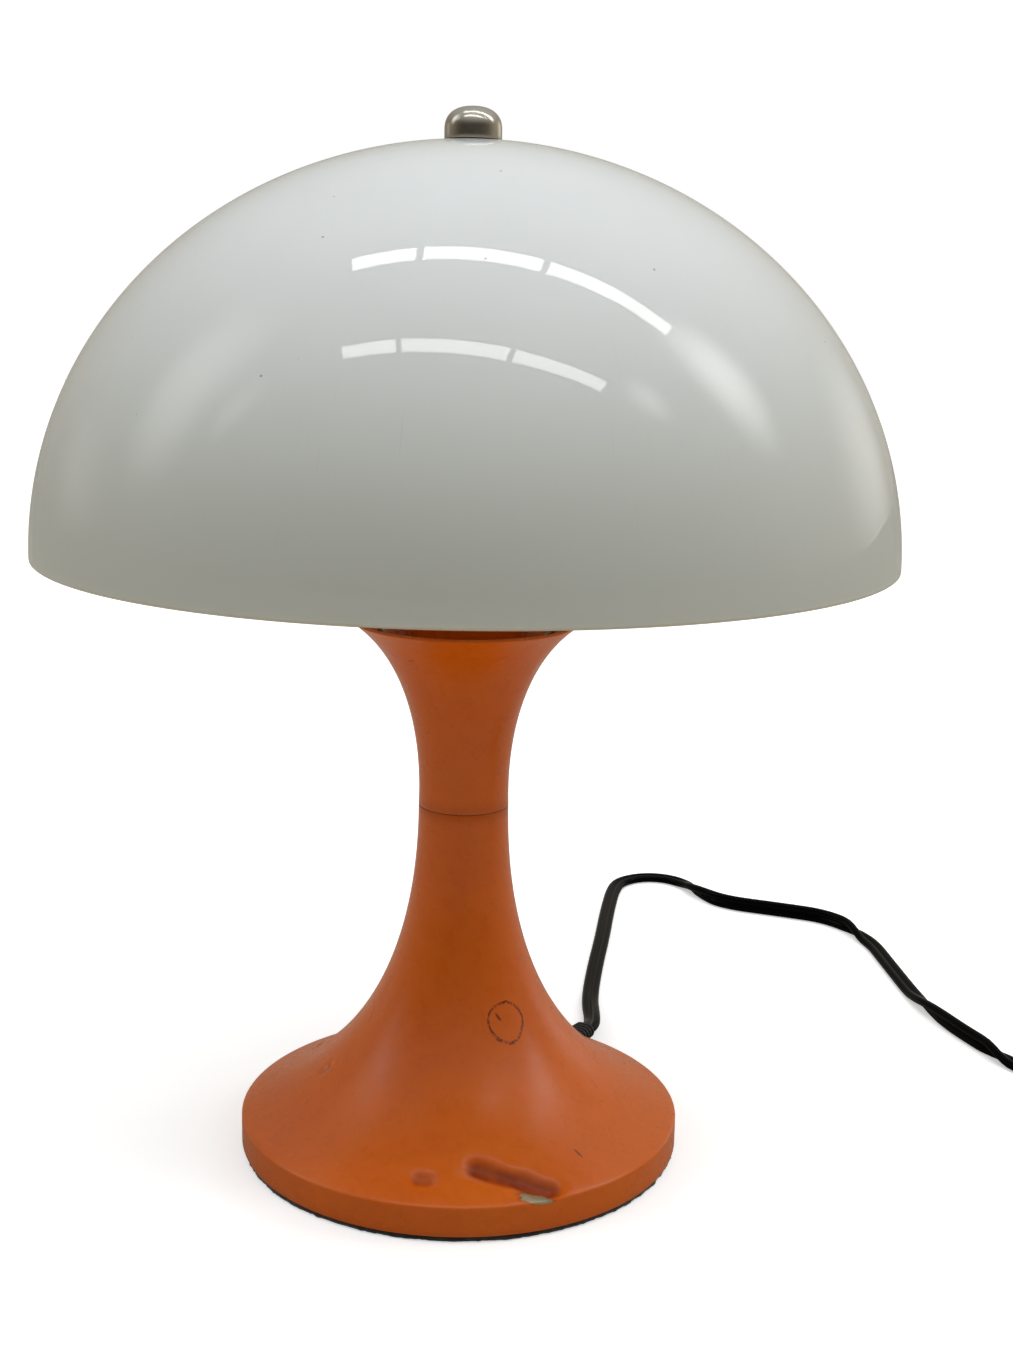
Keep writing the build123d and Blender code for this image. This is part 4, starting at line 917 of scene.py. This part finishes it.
# ---------------------------------------------------------------- base, stem and felt
FELT = 2.0                              # thickness of the felt under the base
FLARE_PULL, NECK_PULL = 16.0, 25.3      # heights of the corners that pull the flare's curve
BASE_TOP = 121.05                       # where that curve ends, just below the seam
SEAM_LOW, SEAM_HIGH = 121.18, 121.42    # the cut edges of the two trumpets
LIP_RADIUS, LIP_HEIGHT = 37.6, 184
LIP_ANGLE = radians(36.4)               # how steeply the lip rises outwards
LIP_PULL = 31.3                         # length of the handle that pulls the curve at the lip
DENT_TOP = 0.036                        # no dent reaches higher, in metres like the coordinates
LONG_DENT = (mm(5.5, -62.5, 19.3), mm(17.0, -64.6, 16.6), mm(29.0, -66.2, 13.9))
DENTS = (
    # middle line, half width, share of the full depth
    (LONG_DENT, 5.8, 1.0),
    ((mm(-12.6, -65.9, 16.9), mm(-9.4, -66.2, 16.5)), 4.4, 0.6),
    ((mm(-45.9, -12.2, 31.2), mm(-46.2, -12.4, 28.6)), 3.0, 0.45),
    ((mm(-51.5, 21.0, 23.6), mm(-50.2, 24.4, 23.4)), 3.6, 0.55),
)


def line_reach(point, line):
    """How far a point lies from a broken line."""
    best = 1.0
    for start, end in zip(line, line[1:]):
        run = end - start
        share = max(0.0, min(1.0, (point - start).dot(run) / run.length_squared))
        best = min(best, (point - start - run * share).length)
    return best


def press_dents(piece, depth):
    """Press the knocks into the shell, with a slightly raised lip, and mark them for their painted shade."""
    lip_width = 0.7             # of the dent's half width
    marks = piece.data.attributes.new("dent", "FLOAT", "POINT")
    places = [vert.co.copy() for vert in piece.data.vertices]
    normals = [vert.normal.copy() for vert in piece.data.vertices]
    for index, (place, normal) in enumerate(zip(places, normals)):
        if place.z > DENT_TOP:
            continue
        # the inner wall's normals point to the axis, and it moves the same way as the outer wall
        outward = -1 if normal.x * place.x + normal.y * place.y < 0 and normal.z < 0.2 else 1
        for line, half, share in DENTS:
            reach = line_reach(place, line) / (half * MM)
            reach += 0.20 * noise.noise(place * 150)
            if reach < 1:
                fall = (1 - reach * reach) ** 2.6
                piece.data.vertices[index].co -= normal * outward * depth * share * fall
                marks.data[index].value = max(marks.data[index].value, share * min(1.0, fall * 1.25))
            elif reach < 1 + lip_width:
                bulge = sin(pi * (reach - 1) / lip_width) ** 2
                piece.data.vertices[index].co += normal * outward * depth * 0.05 * share * bulge


class LAMP_OT_felt(LampOperator):
    """Add the felt disc under the base, with its ragged cut edge"""
    bl_idname = "lamp.add_felt"
    bl_label = "Felt"

    def execute(self, context):
        profile = [(0, 0.0), (40, 0.0), (66, 0.0), (74.6, 0.0), (75.1, 0.35), (75.2, 1.0), (75.1, FELT),
                   (66, FELT), (0, FELT)]
        piece = lathe("felt_disc", profile, context.scene.lamp_sizes.steps)
        for vert in piece.data.vertices:
            radius = hypot(vert.co.x, vert.co.y)
            # only the cut edge is ragged
            if radius > 0.0735:
                fray = noise.noise(vert.co * 700) * 0.55 + noise.noise(vert.co * 160) * 0.5 - 0.35
                fray = min(fray, 0.1) * MM
                vert.co.x *= 1 + fray / radius
                vert.co.y *= 1 + fray / radius
        finish_piece(piece, "black_felt", nodes=["felt_pad"], angle=60)
        return {"FINISHED"}


class LAMP_OT_base(LampOperator):
    """Spin the base and lower stem, and press the dents into it"""
    bl_idname = "lamp.add_base"
    bl_label = "Base"

    def execute(self, context):
        sizes = context.scene.lamp_sizes
        wall = sizes.shell_wall / MM
        rim = sizes.base_radius / MM
        neck = sizes.neck_radius / MM
        top = sizes.rim_top / MM
        outer = curve_points(((rim, top), (rim, FLARE_PULL), (neck, NECK_PULL), (neck, BASE_TOP)), 92)
        inner = curve_points(((rim - wall, top), (rim - wall, FLARE_PULL - wall / 2),
                              (neck - wall, NECK_PULL - wall / 2), (neck - wall, BASE_TOP)), 24)
        # a small round at the foot and at the neck's cut edge
        profile = [(rim - wall, FELT), (rim - 0.5, FELT), (rim - 0.12, FELT + 0.12), (rim, FELT + 0.5),
                   (rim, 4.5), (rim, 7.0), (rim, 9.4), (rim - 0.02, 10.8)]
        profile += outer[1:-1]
        profile += [(neck, SEAM_LOW - 0.12), (neck - 0.04, SEAM_LOW - 0.03), (neck - 0.15, SEAM_LOW),
                    (neck - wall, SEAM_LOW)]
        profile += inner[::-1][1:]
        profile.append(profile[0])
        piece = lathe("spun_base", profile, sizes.steps)
        press_dents(piece, sizes.dent_depth)
        finish_piece(piece, "orange_paint", nodes=["base_shell"], angle=40)
        dress_nodes("turned_aluminium", "neck_collar")
        dress_nodes("cast_iron", "base_weight")
        return {"FINISHED"}


class LAMP_OT_trumpet(LampOperator):
    """Spin the upper trumpet with its rolled lip"""
    bl_idname = "lamp.add_trumpet"
    bl_label = "Upper trumpet"

    def execute(self, context):
        sizes = context.scene.lamp_sizes
        wall = sizes.shell_wall / MM
        neck = sizes.neck_radius / MM
        lip = (cos(LIP_ANGLE), sin(LIP_ANGLE))
        inward = (-wall * lip[1], wall * lip[0])
        pull = (LIP_RADIUS - LIP_PULL * lip[0], LIP_HEIGHT - LIP_PULL * lip[1])
        waist = 124.8
        outer = curve_points(((neck, SEAM_HIGH), (neck, waist), pull, (LIP_RADIUS, LIP_HEIGHT)), 56)
        inner = curve_points(((neck - wall, SEAM_HIGH), (neck - wall, waist),
                              (pull[0] + inward[0], pull[1] + inward[1]),
                              (LIP_RADIUS + inward[0], LIP_HEIGHT + inward[1])), 32)
        # the lip's edge is rolled over in a low round
        middle = (LIP_RADIUS + inward[0] / 2, LIP_HEIGHT + inward[1] / 2)
        roll = wall * 0.28
        edge = []
        for step in range(1, 6):
            angle = pi * step / 6
            across = cos(angle) * wall / 2
            out = sin(angle) * roll - roll
            edge.append((middle[0] + lip[1] * across + lip[0] * out,
                         middle[1] - lip[0] * across + lip[1] * out))
        foot = (neck - 0.15, SEAM_HIGH)
        profile = [foot, (neck - 0.04, SEAM_HIGH + 0.03), (neck, SEAM_HIGH + 0.13)] + outer[1:-1]
        profile += edge + inner[::-1][1:] + [foot]
        piece = lathe("spun_trumpet", profile, 256)
        finish_piece(piece, "orange_paint", nodes=["upper_trumpet"], angle=40)
        return {"FINISHED"}


# ---------------------------------------------------------------- shade and finial
CROWN = 2.4                 # how square the finial's crown is; 2 makes it an ellipse


def washer_profile(box, inner, outer, bevel):
    """The profile of a washer with bevelled outer edges, as high as the box of its node."""
    low, high = (corner.z / MM for corner in box)
    return [(inner, low), (outer - bevel, low), (outer, low + bevel), (outer, high - bevel),
            (outer - bevel, high), (inner, high), (inner, low)]


class LAMP_OT_shade(LampOperator):
    """Form the opal dome and add the washers that hold it"""
    bl_idname = "lamp.add_shade"
    bl_label = "Shade"

    def execute(self, context):
        wall = context.scene.lamp_sizes.shade_wall / MM
        rim = SHADE_RIM / MM
        wide, tall = 140.0, 130.8
        hole = 88.65            # the angle at which the dome ends at its hole
        profile = [(wide - 0.9, rim), (wide - 0.35, rim + 0.06), (wide - 0.08, rim + 0.3)]
        profile += oval_points(rim, wide, tall, 0.4, hole, 84)
        profile += oval_points(rim, wide - wall, tall - wall, 0.35, hole - 0.03, 44)[::-1]
        profile += [(wide - wall + 0.1, rim + 0.25), (wide - wall + 0.5, rim), (wide - 0.9, rim)]
        piece = lathe("opal_dome", profile, 288)
        finish_piece(piece, "opal_acrylic", body="shade", nodes=["shade"], angle=40)
        piece = lathe("dome_washer", washer_profile(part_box("top_washer"), 3.35, 7.3, 0.2), 96)
        finish_piece(piece, "clear_washer", body="shade", nodes=["top_washer"])
        piece = lathe("dome_seat", washer_profile(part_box("seat_washer"), 3.05, 12.0, 0.3), 96)
        finish_piece(piece, "brass", nodes=["seat_washer"])
        return {"FINISHED"}


class LAMP_OT_finial(LampOperator):
    """Turn the nickel-plated finial"""
    bl_idname = "lamp.add_finial"
    bl_label = "Finial"

    def execute(self, context):
        foot, top, radius, bore, recess = 337.95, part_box("finial_cap")[1].z / MM, 9.1, 5.05, 0.65
        band = foot + 2.7
        profile = [(bore, foot + recess), (7.5, foot + recess), (7.5, foot), (radius - 0.25, foot),
                   (radius - 0.05, foot + 0.08), (radius, foot + 0.3), (radius, foot + 1.5), (radius, band)]
        power = 2 / CROWN
        for step in range(1, 33):
            angle = pi / 2 * step / 32
            profile.append((radius * cos(angle) ** power, band + (top - band) * sin(angle) ** power))
        profile += [(0, foot + 7.9), (bore, foot + 7.9), (bore, foot + recess)]
        piece = lathe("finial_dome", profile, 128)
        finish_piece(piece, "nickel", body="finial", nodes=["finial_cap"], angle=50)
        dress_nodes("brass", "finial_insert")
        return {"FINISHED"}


# ---------------------------------------------------------------- harp
HARP_HALF = 38.0            # half the harp's width
SADDLE_HEIGHT = 161.5       # the saddle's underside, on the support disc


def sleeve(side):
    """One fluted sleeve over the foot of the harp's wire."""
    centre = (side * HARP_HALF, 0)
    profile = [(1.8, 205.5), (2.9, 205.5), (3.3, 205.9), (3.3, 207.0), (3.3, 208.0), (3.3, 209.5),
               (3.3, 211.0), (3.3, 212.0), (3.3, 213.1), (2.9, 213.5), (1.8, 213.5), (1.8, 205.5)]
    piece = lathe("sleeve", profile, 72, centre)
    flute(piece, 3.3, 206.3, 212.7, 24, 0.22, centre)
    return piece


def saddle_arm(side):
    """One arm of the saddle: a strip with mitred bends, from the disc under the lip and up to the sleeve."""
    half_width, thickness = 4, 1.5
    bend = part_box("support_disc")[1].x / MM - 1.8
    line = [Vector((side * x, z)) for x, z in (
        (9.5, SADDLE_HEIGHT), (bend, SADDLE_HEIGHT), (LIP_RADIUS - 6.8, LIP_HEIGHT), (HARP_HALF, 196.0))]
    ways = [(after - before).normalized() for before, after in zip(line, line[1:])]
    ups = [Vector((-way.y, way.x)) * side for way in ways]
    rings = []
    for point, before, after in zip(line, ups[:1] + ups, ups + ups[-1:]):
        upper = point + (before + after) / (1 + before.dot(after)) * thickness
        rings.append([(point.x, -half_width, point.y), (point.x, half_width, point.y),
                      (upper.x, half_width, upper.y), (upper.x, -half_width, upper.y)])
    piece = loft("strip", rings)
    use_modifier(piece, "BEVEL", width=0.35 * MM, segments=2, limit_method="ANGLE", angle_limit=radians(25))
    return piece


def saddle_socket(side):
    """The round socket at the end of an arm, which the harp's wire stands in."""
    return lathe("socket", [(0, 194.5), (2.6, 194.5), (2.9, 194.8), (2.9, 205.2), (2.7, 205.5), (1.8, 205.5),
                            (1.8, 197.5), (0, 197.5)], 40, (side * HARP_HALF, 0))


class LAMP_OT_harp(LampOperator):
    """Bend the harp's wire and add its saddle, sleeves and stud"""
    bl_idname = "lamp.add_harp"
    bl_label = "Harp"

    def execute(self, context):
        foot, top, corner, wire = 197.5, 328.8, 31.0, 1.75
        piece = new_piece("harp_wire", "circle", vertices=20, radius=wire * MM,
                          location=mm(-HARP_HALF, 0, foot), fill_type="NOTHING")
        bpy.ops.object.mode_set(mode="EDIT")
        bpy.ops.mesh.select_all(action="SELECT")
        bend = HARP_HALF - corner
        for run, middle in ((mm(0, 0, top - corner - foot), -bend), (mm(2 * bend, 0, 0), bend)):
            bpy.ops.mesh.extrude_region_move(TRANSFORM_OT_translate={"value": run})
            bpy.ops.mesh.spin(steps=20, angle=pi / 2, center=mm(middle, 0, top - corner), axis=(0, -1, 0))
        bpy.ops.mesh.extrude_region_move(TRANSFORM_OT_translate={"value": mm(0, 0, foot - top + corner)})
        bpy.ops.object.mode_set(mode="OBJECT")
        close_skin(piece)
        finish_piece(piece, "brass", nodes=["harp"], angle=50)
        piece = join("harp_ferrules", [sleeve(side) for side in (-1, 1)])
        finish_piece(piece, "brass", nodes=["harp_sleeves"])
        arms = [saddle_arm(side) for side in (-1, 1)]
        pad = lathe("pad", [(5.05, SADDLE_HEIGHT + 0.04), (10.7, SADDLE_HEIGHT + 0.04),
                            (11.0, SADDLE_HEIGHT + 0.3), (11.0, SADDLE_HEIGHT + 1.2),
                            (10.7, SADDLE_HEIGHT + 1.46), (5.05, SADDLE_HEIGHT + 1.46),
                            (5.05, SADDLE_HEIGHT + 0.04)], 64)
        sockets = [saddle_socket(side) for side in (-1, 1)]
        piece = join("harp_bracket", [*arms, pad, *sockets])
        finish_piece(piece, "zinc_steel", nodes=["harp_saddle"])
        stud = [(0, 324.8), (5.6, 324.8), (6.0, 325.2), (6.0, 326.6), (6.0, 328.8), (6.0, 331.0),
                (6.0, 332.4), (5.6, 332.8), (3.0, 332.8)]
        level, crest, pitch = 333.2, 344.4, 0.5
        while level < crest - 0.4:
            stud += [(3.0, level), (2.62, level + pitch / 2)]
            level += pitch
        stud += [(2.6, crest), (0, crest)]
        piece = lathe("harp_boss", stud, 64)
        flute(piece, 6.0, 325.3, 332.3, 30, 0.3)
        finish_piece(piece, "brass", nodes=["harp_stud"])
        return {"FINISHED"}


# ---------------------------------------------------------------- lampholder
class LAMP_OT_holder(LampOperator):
    """Press the lampholder's cap, mould its sleeve and roll its threaded shell"""
    bl_idname = "lamp.add_holder"
    bl_label = "Lampholder"

    def execute(self, context):
        profile = [(5.05, 167.0), (8.7, 167.0), (9.0, 167.3), (9.0, 170.2), (9.3, 170.7), (19.0, 177.9),
                   (19.7, 178.7), (20.0, 179.8), (20.0, 187.6), (19.75, 188.0), (20.0, 188.4), (20.0, 189.7),
                   (19.7, 190.0), (18.5, 190.0), (18.5, 184.0), (17.0, 184.0), (17.0, 179.0), (7.5, 171.0),
                   (5.05, 171.0), (5.05, 167.0)]
        piece = lathe("holder_shell", profile, 160)
        finish_piece(piece, "orange_paint", nodes=["holder_cap"], angle=50)
        profile = [(14.25, 190.0), (19.7, 190.0), (20.0, 190.5), (20.0, 191.2), (19.3, 191.6), (19.3, 192.2),
                   (20.0, 192.6)]
        profile += [(20.0, 193.4 + step * 1.3) for step in range(17)]
        profile += [(20.0, 215.2), (19.5, 216.0), (18.6, 216.4), (18.6, 219.2), (18.0, 220.0), (14.8, 220.0),
                    (14.25, 219.4), (14.25, 190.0)]
        piece = lathe("holder_barrel", profile, 240)
        flute(piece, 20.0, 193.2, 214.8, 40, 0.5)
        finish_piece(piece, "black_phenolic", nodes=["holder_sleeve"], angle=50)
        outside = [(13.95, 190.0 + step * 0.5) for step in range(53)]
        inside = [(13.5, 216.0 - step * 0.5) for step in range(52)]
        profile = [(11.0, 190.0)] + outside + inside + [(11.0, 190.5), (11.0, 190.0)]
        piece = lathe("threaded_shell", profile, 96)
        low, high = 192.0, 215.5
        roll_thread(piece, 13.9, 14.0, low, high, 0.3)
        roll_thread(piece, 13.49, 13.51, low, high, -0.2, phase=pi)
        finish_piece(piece, "brass", nodes=["screw_shell"], angle=60)
        dress_nodes("white_ceramic", "holder_insert")
        dress_nodes("brass", "centre_contact", "side_contact", "terminal_screws")
        return {"FINISHED"}


# ---------------------------------------------------------------- bulb
class LAMP_OT_bulb(LampOperator):
    """Blow the bulb and its mount, roll its screw cap and finish the contact end and the filament"""
    bl_idname = "lamp.add_bulb"
    bl_label = "Bulb"

    def execute(self, context):
        outside = [(13.2, 197.8 + step * 0.45) for step in range(41)]
        profile = [(0, 197.0), (12.4, 197.0), (12.9, 197.2)] + outside
        profile += [(13.2, 216.6), (13.0, 217.0), (12.75, 217.0), (12.75, 216.4), (12.75, 214.5),
                    (12.0, 212.0), (12.0, 198.0), (0, 198.0)]
        piece = lathe("bulb_screw_cap", profile, 96)
        roll_thread(piece, 13.1, 13.3, 197.9, 213.6, 0.85)
        finish_piece(piece, "bulb_cap_metal", body="bulb", nodes=["bulb_cap"], angle=60)
        foot, neck, rise, centre = 214.0, 217.0, 49.8, 266.8

        def neck_curve(narrow, wide, count):
            return curve_points(((narrow, neck), (narrow, neck + 0.4 * rise), (wide, centre - 0.45 * rise),
                                 (wide, centre)), count)

        profile = [(12.6, foot)] + neck_curve(12.6, 30, 36) + oval_points(centre, 30, 30, 0, 90, 28)[1:]
        profile += oval_points(centre, 29.2, 29.2, 90, 0, 22) + neck_curve(11.8, 29.2, 24)[::-1][1:]
        profile += [(11.8, foot), (12.6, foot)]
        piece = lathe("bulb_envelope", profile, 96)
        finish_piece(piece, "frosted_glass", body="bulb", nodes=["bulb_glass"])
        profile = [(0, 214.0), (11.7, 214.0), (11.2, 214.6), (7.6, 217.0), (4.6, 220.0), (3.2, 223.0),
                   (3.0, 228.0), (3.0, 238.6), (3.4, 239.6), (3.4, 240.6), (2.2, 241.8), (0, 242.0)]
        piece = lathe("bulb_mount", profile, 48)
        finish_piece(piece, "clear_glass", body="bulb", nodes=["bulb_stem"])
        dress_nodes("tungsten", "bulb_filament")
        low, high = (corner.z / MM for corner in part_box("bulb_contact"))
        piece = lathe("bulb_solder", [(0, low), (3.2, low + 0.12), (4.2, low + 0.5), (4.5, high - 0.2),
                                      (4.5, high), (0, high)], 40)
        finish_piece(piece, "solder_tin", body="bulb_tip", nodes=["bulb_contact"])
        low, high = (corner.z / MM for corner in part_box("bulb_insulator"))
        piece = lathe("bulb_insulating_glass", [(0, low), (4.5, low), (5.2, low + 0.3), (9.2, high - 1.6),
                                                (12.0, high - 0.5), (12.4, high), (0, high)], 64)
        finish_piece(piece, "black_glass", body="bulb_tip", nodes=["bulb_insulator"])
        return {"FINISHED"}


class LAMP_OT_inner(LampOperator):
    """Finish the tube, nuts, washers and cores inside the stem"""
    bl_idname = "lamp.finish_inner"
    bl_label = "Inner pieces"

    def execute(self, context):
        dress_nodes("zinc_steel", "stem_tube", "bottom_washer", "bottom_nut", "support_disc", "saddle_nut")
        dress_nodes("core_insulation", "inner_lead")
        return {"FINISHED"}


# ---------------------------------------------------------------- stage
STRIPS = (
    # start and end of each ceiling lamp in mm, and its brightness
    ((-741, 226), (-330, 180), 10.5),
    ((-286, 176), (432, 97), 10.5),
    ((476, 93), (1527, -23), 10.5),
    ((-1046, -789), (-582, -861), 9.8),
    ((-536, -867), (304, -997), 9.8),
    ((350, -1003), (1246, -1141), 9.8),
)
STRIP_WIDTH = 160           # mm
CEILING = 2.2               # height of the ceiling lamps in metres
MIRRORED = 0.66             # the part of their light that shiny surfaces mirror
FAR_LAMPS = (
    # the way to each soft lamp further off, its half sizes, its lean in degrees and its brightness
    ((-0.83, 0.07, 0.55), (0.26, 0.15, 0.16), -56, 1.9),
    ((-0.78, -0.21, 0.59), (0.12, 0.05, 0.08), -52, 1.3),
    ((0.77, 0.03, 0.63), (0.20, 0.10, 0.12), 54, 5.0),
    ((0.63, -0.34, 0.70), (0.08, 0.05, 0.06), 45, 2.6),
    ((0.76, 0.64, 0.12), (0.20, 0.20, 0.16), 0, 0.9),
    ((-0.86, 0.48, 0.12), (0.16, 0.16, 0.12), 0, 0.35),
)


def seen_directly(tree):
    """1 for rays from the camera or through glass, and 0 for the others."""
    path = add_node(tree, "LightPath").outputs
    return maths(tree, "MAXIMUM", path["Is Camera Ray"], path["Is Transmission Ray"])


def make_world():
    """A pale room: white where it is seen directly; as light it is bright above, dimmer at its sides and
    darkest behind the camera, with soft lamps to the left and right."""
    world = bpy.data.worlds.new("pale_room")
    bpy.context.scene.world = world
    tree = empty_tree(world)
    way = add_node(tree, "TexCoord").outputs["Generated"]
    x, y, z = add_node(tree, "SeparateXYZ", links={0: way}).outputs
    rise = ranged(tree, z, 0.2, 0.95, 0, 1, smooth=True)
    near = ranged(tree, y, -0.8, 0.3, 0.22, 1.0, smooth=True)
    side = ranged(tree, x, -1, 1, 0.84, 1.24)
    low = mixed(tree, "RGBA", near, (0, 0, 0), linear("#A8A294"))
    colour = mixed(tree, "RGBA", rise, low, linear("#D6DADC"))
    room = add_node(tree, "Background", links={0: colour, 1: side}).outputs[0]
    for centre, size, lean, brightness in FAR_LAMPS:
        mask = spot(tree, way, [value / MM for value in centre], [value / MM for value in size],
                    (0, radians(lean), 0), edge=0.8)
        power = maths(tree, "MULTIPLY", mask, brightness)
        lamp = add_node(tree, "Background", links={1: power}).outputs[0]
        room = add_node(tree, "AddShader", links={0: room, 1: lamp}).outputs[0]
    white = add_node(tree, "Background", values={"Color": (1, 1, 1, 1), "Strength": 1.0}).outputs[0]
    last = add_node(tree, "MixShader", links={0: seen_directly(tree), 1: room, 2: white})
    add_node(tree, "OutputWorld", links={0: last.outputs[0]})


def make_paper():
    """Pale paper: near white where it is seen directly, dimmer as light, and nothing from below."""
    material = bpy.data.materials.new("pale_paper")
    tree = empty_tree(material)
    pale = add_node(tree, "BsdfDiffuse", values={"Color": (0.90, 0.90, 0.90, 1)}).outputs[0]
    glow = add_node(tree, "Emission", values={"Color": (1, 1, 1, 1), "Strength": 0.48}).outputs[0]
    both = add_node(tree, "AddShader", links={0: pale, 1: glow}).outputs[0]
    dim = add_node(tree, "BsdfDiffuse", values={"Color": (*linear("#BDB8AB"), 1)}).outputs[0]
    above = add_node(tree, "MixShader", links={0: seen_directly(tree), 1: dim, 2: both}).outputs[0]
    below = add_node(tree, "NewGeometry").outputs["Backfacing"]
    clear = add_node(tree, "BsdfTransparent").outputs[0]
    shader = add_node(tree, "MixShader", links={0: below, 1: above, 2: clear}).outputs[0]
    add_node(tree, "OutputMaterial", links={0: shader})
    return material


def hang_lamp(name, start, end, energy, mirrored):
    """Hang one long lamp under the ceiling between two places, with its energy for each square metre."""
    run = (Vector(end) - Vector(start)) * MM
    middle = (Vector(start) + Vector(end)) * MM / 2
    data = bpy.data.lights.new(name, "AREA")
    data.shape = "RECTANGLE"
    data.size = run.length
    data.size_y = STRIP_WIDTH * MM
    data.energy = energy * data.size * data.size_y
    data.color = (1.0, 1.0, 0.99)
    lamp = bpy.data.objects.new(data.name, data)
    bpy.context.scene.collection.objects.link(lamp)
    lamp.location = (middle.x, middle.y, CEILING)
    lamp.rotation_euler = (0, 0, atan2(run.y, run.x))
    lamp.visible_glossy = mirrored


class LAMP_OT_stage(LampOperator):
    """Add the floor, the room's light and the ceiling lamps"""
    bl_idname = "lamp.add_stage"
    bl_label = "Stage"

    def execute(self, context):
        context.scene.view_settings.view_transform = "Standard"
        make_world()
        floor = new_piece("floor", "plane", size=9.0, location=(0, 0, -0.0002))
        floor.data.materials.append(make_paper())
        for index, (start, end, brightness) in enumerate(STRIPS):
            # the photograph mirrors the lamps faintly, so shiny surfaces see only a part of their light
            for part, mirrored in ((MIRRORED, True), (1 - MIRRORED, False)):
                hang_lamp("ceiling_lamp_%d" % index, start, end, part * brightness * pi, mirrored)
        return {"FINISHED"}


class LAMP_PT_panel(bpy.types.Panel):
    """The lamp's tools in the 3D view's sidebar"""
    bl_idname = "LAMP_PT_panel"
    bl_label = "Mushroom table lamp"
    bl_space_type = "VIEW_3D"
    bl_region_type = "UI"
    bl_category = "Lamp"

    def draw(self, context):
        layout = self.layout
        for group in (context.scene.lamp_sizes, context.scene.lamp_colours):
            for name in group.bl_rna.properties.keys():
                if name not in ("rna_type", "name"):
                    layout.prop(group, name)
        for step in STEPS:
            layout.operator(step.bl_idname)


STEPS = (
    LAMP_OT_camera, LAMP_OT_relief, LAMP_OT_switch, LAMP_OT_plug, LAMP_OT_lead, LAMP_OT_felt, LAMP_OT_base,
    LAMP_OT_trumpet, LAMP_OT_shade, LAMP_OT_finial, LAMP_OT_harp, LAMP_OT_holder, LAMP_OT_bulb, LAMP_OT_inner,
    LAMP_OT_stage)
CLASSES = (LampSizes, LampColours) + STEPS + (LAMP_PT_panel,)


def register():
    """Register the classes and give the scene the lamp's settings."""
    for item in CLASSES:
        bpy.utils.register_class(item)
    bpy.types.Scene.lamp_sizes = PointerProperty(type=LampSizes)
    bpy.types.Scene.lamp_colours = PointerProperty(type=LampColours)


def unregister():
    """Take the settings and the classes away again."""
    del bpy.types.Scene.lamp_colours
    del bpy.types.Scene.lamp_sizes
    for item in reversed(CLASSES):
        bpy.utils.unregister_class(item)


def main():
    """Make the whole lamp."""
    register()
    make_materials(bpy.context.scene.lamp_colours)
    for step in STEPS:
        group, name = step.bl_idname.split(".")
        if getattr(getattr(bpy.ops, group), name)() != {"FINISHED"}:
            raise RuntimeError("the step %s didn't finish" % step.bl_label)


if __name__ == "__main__":
    main()
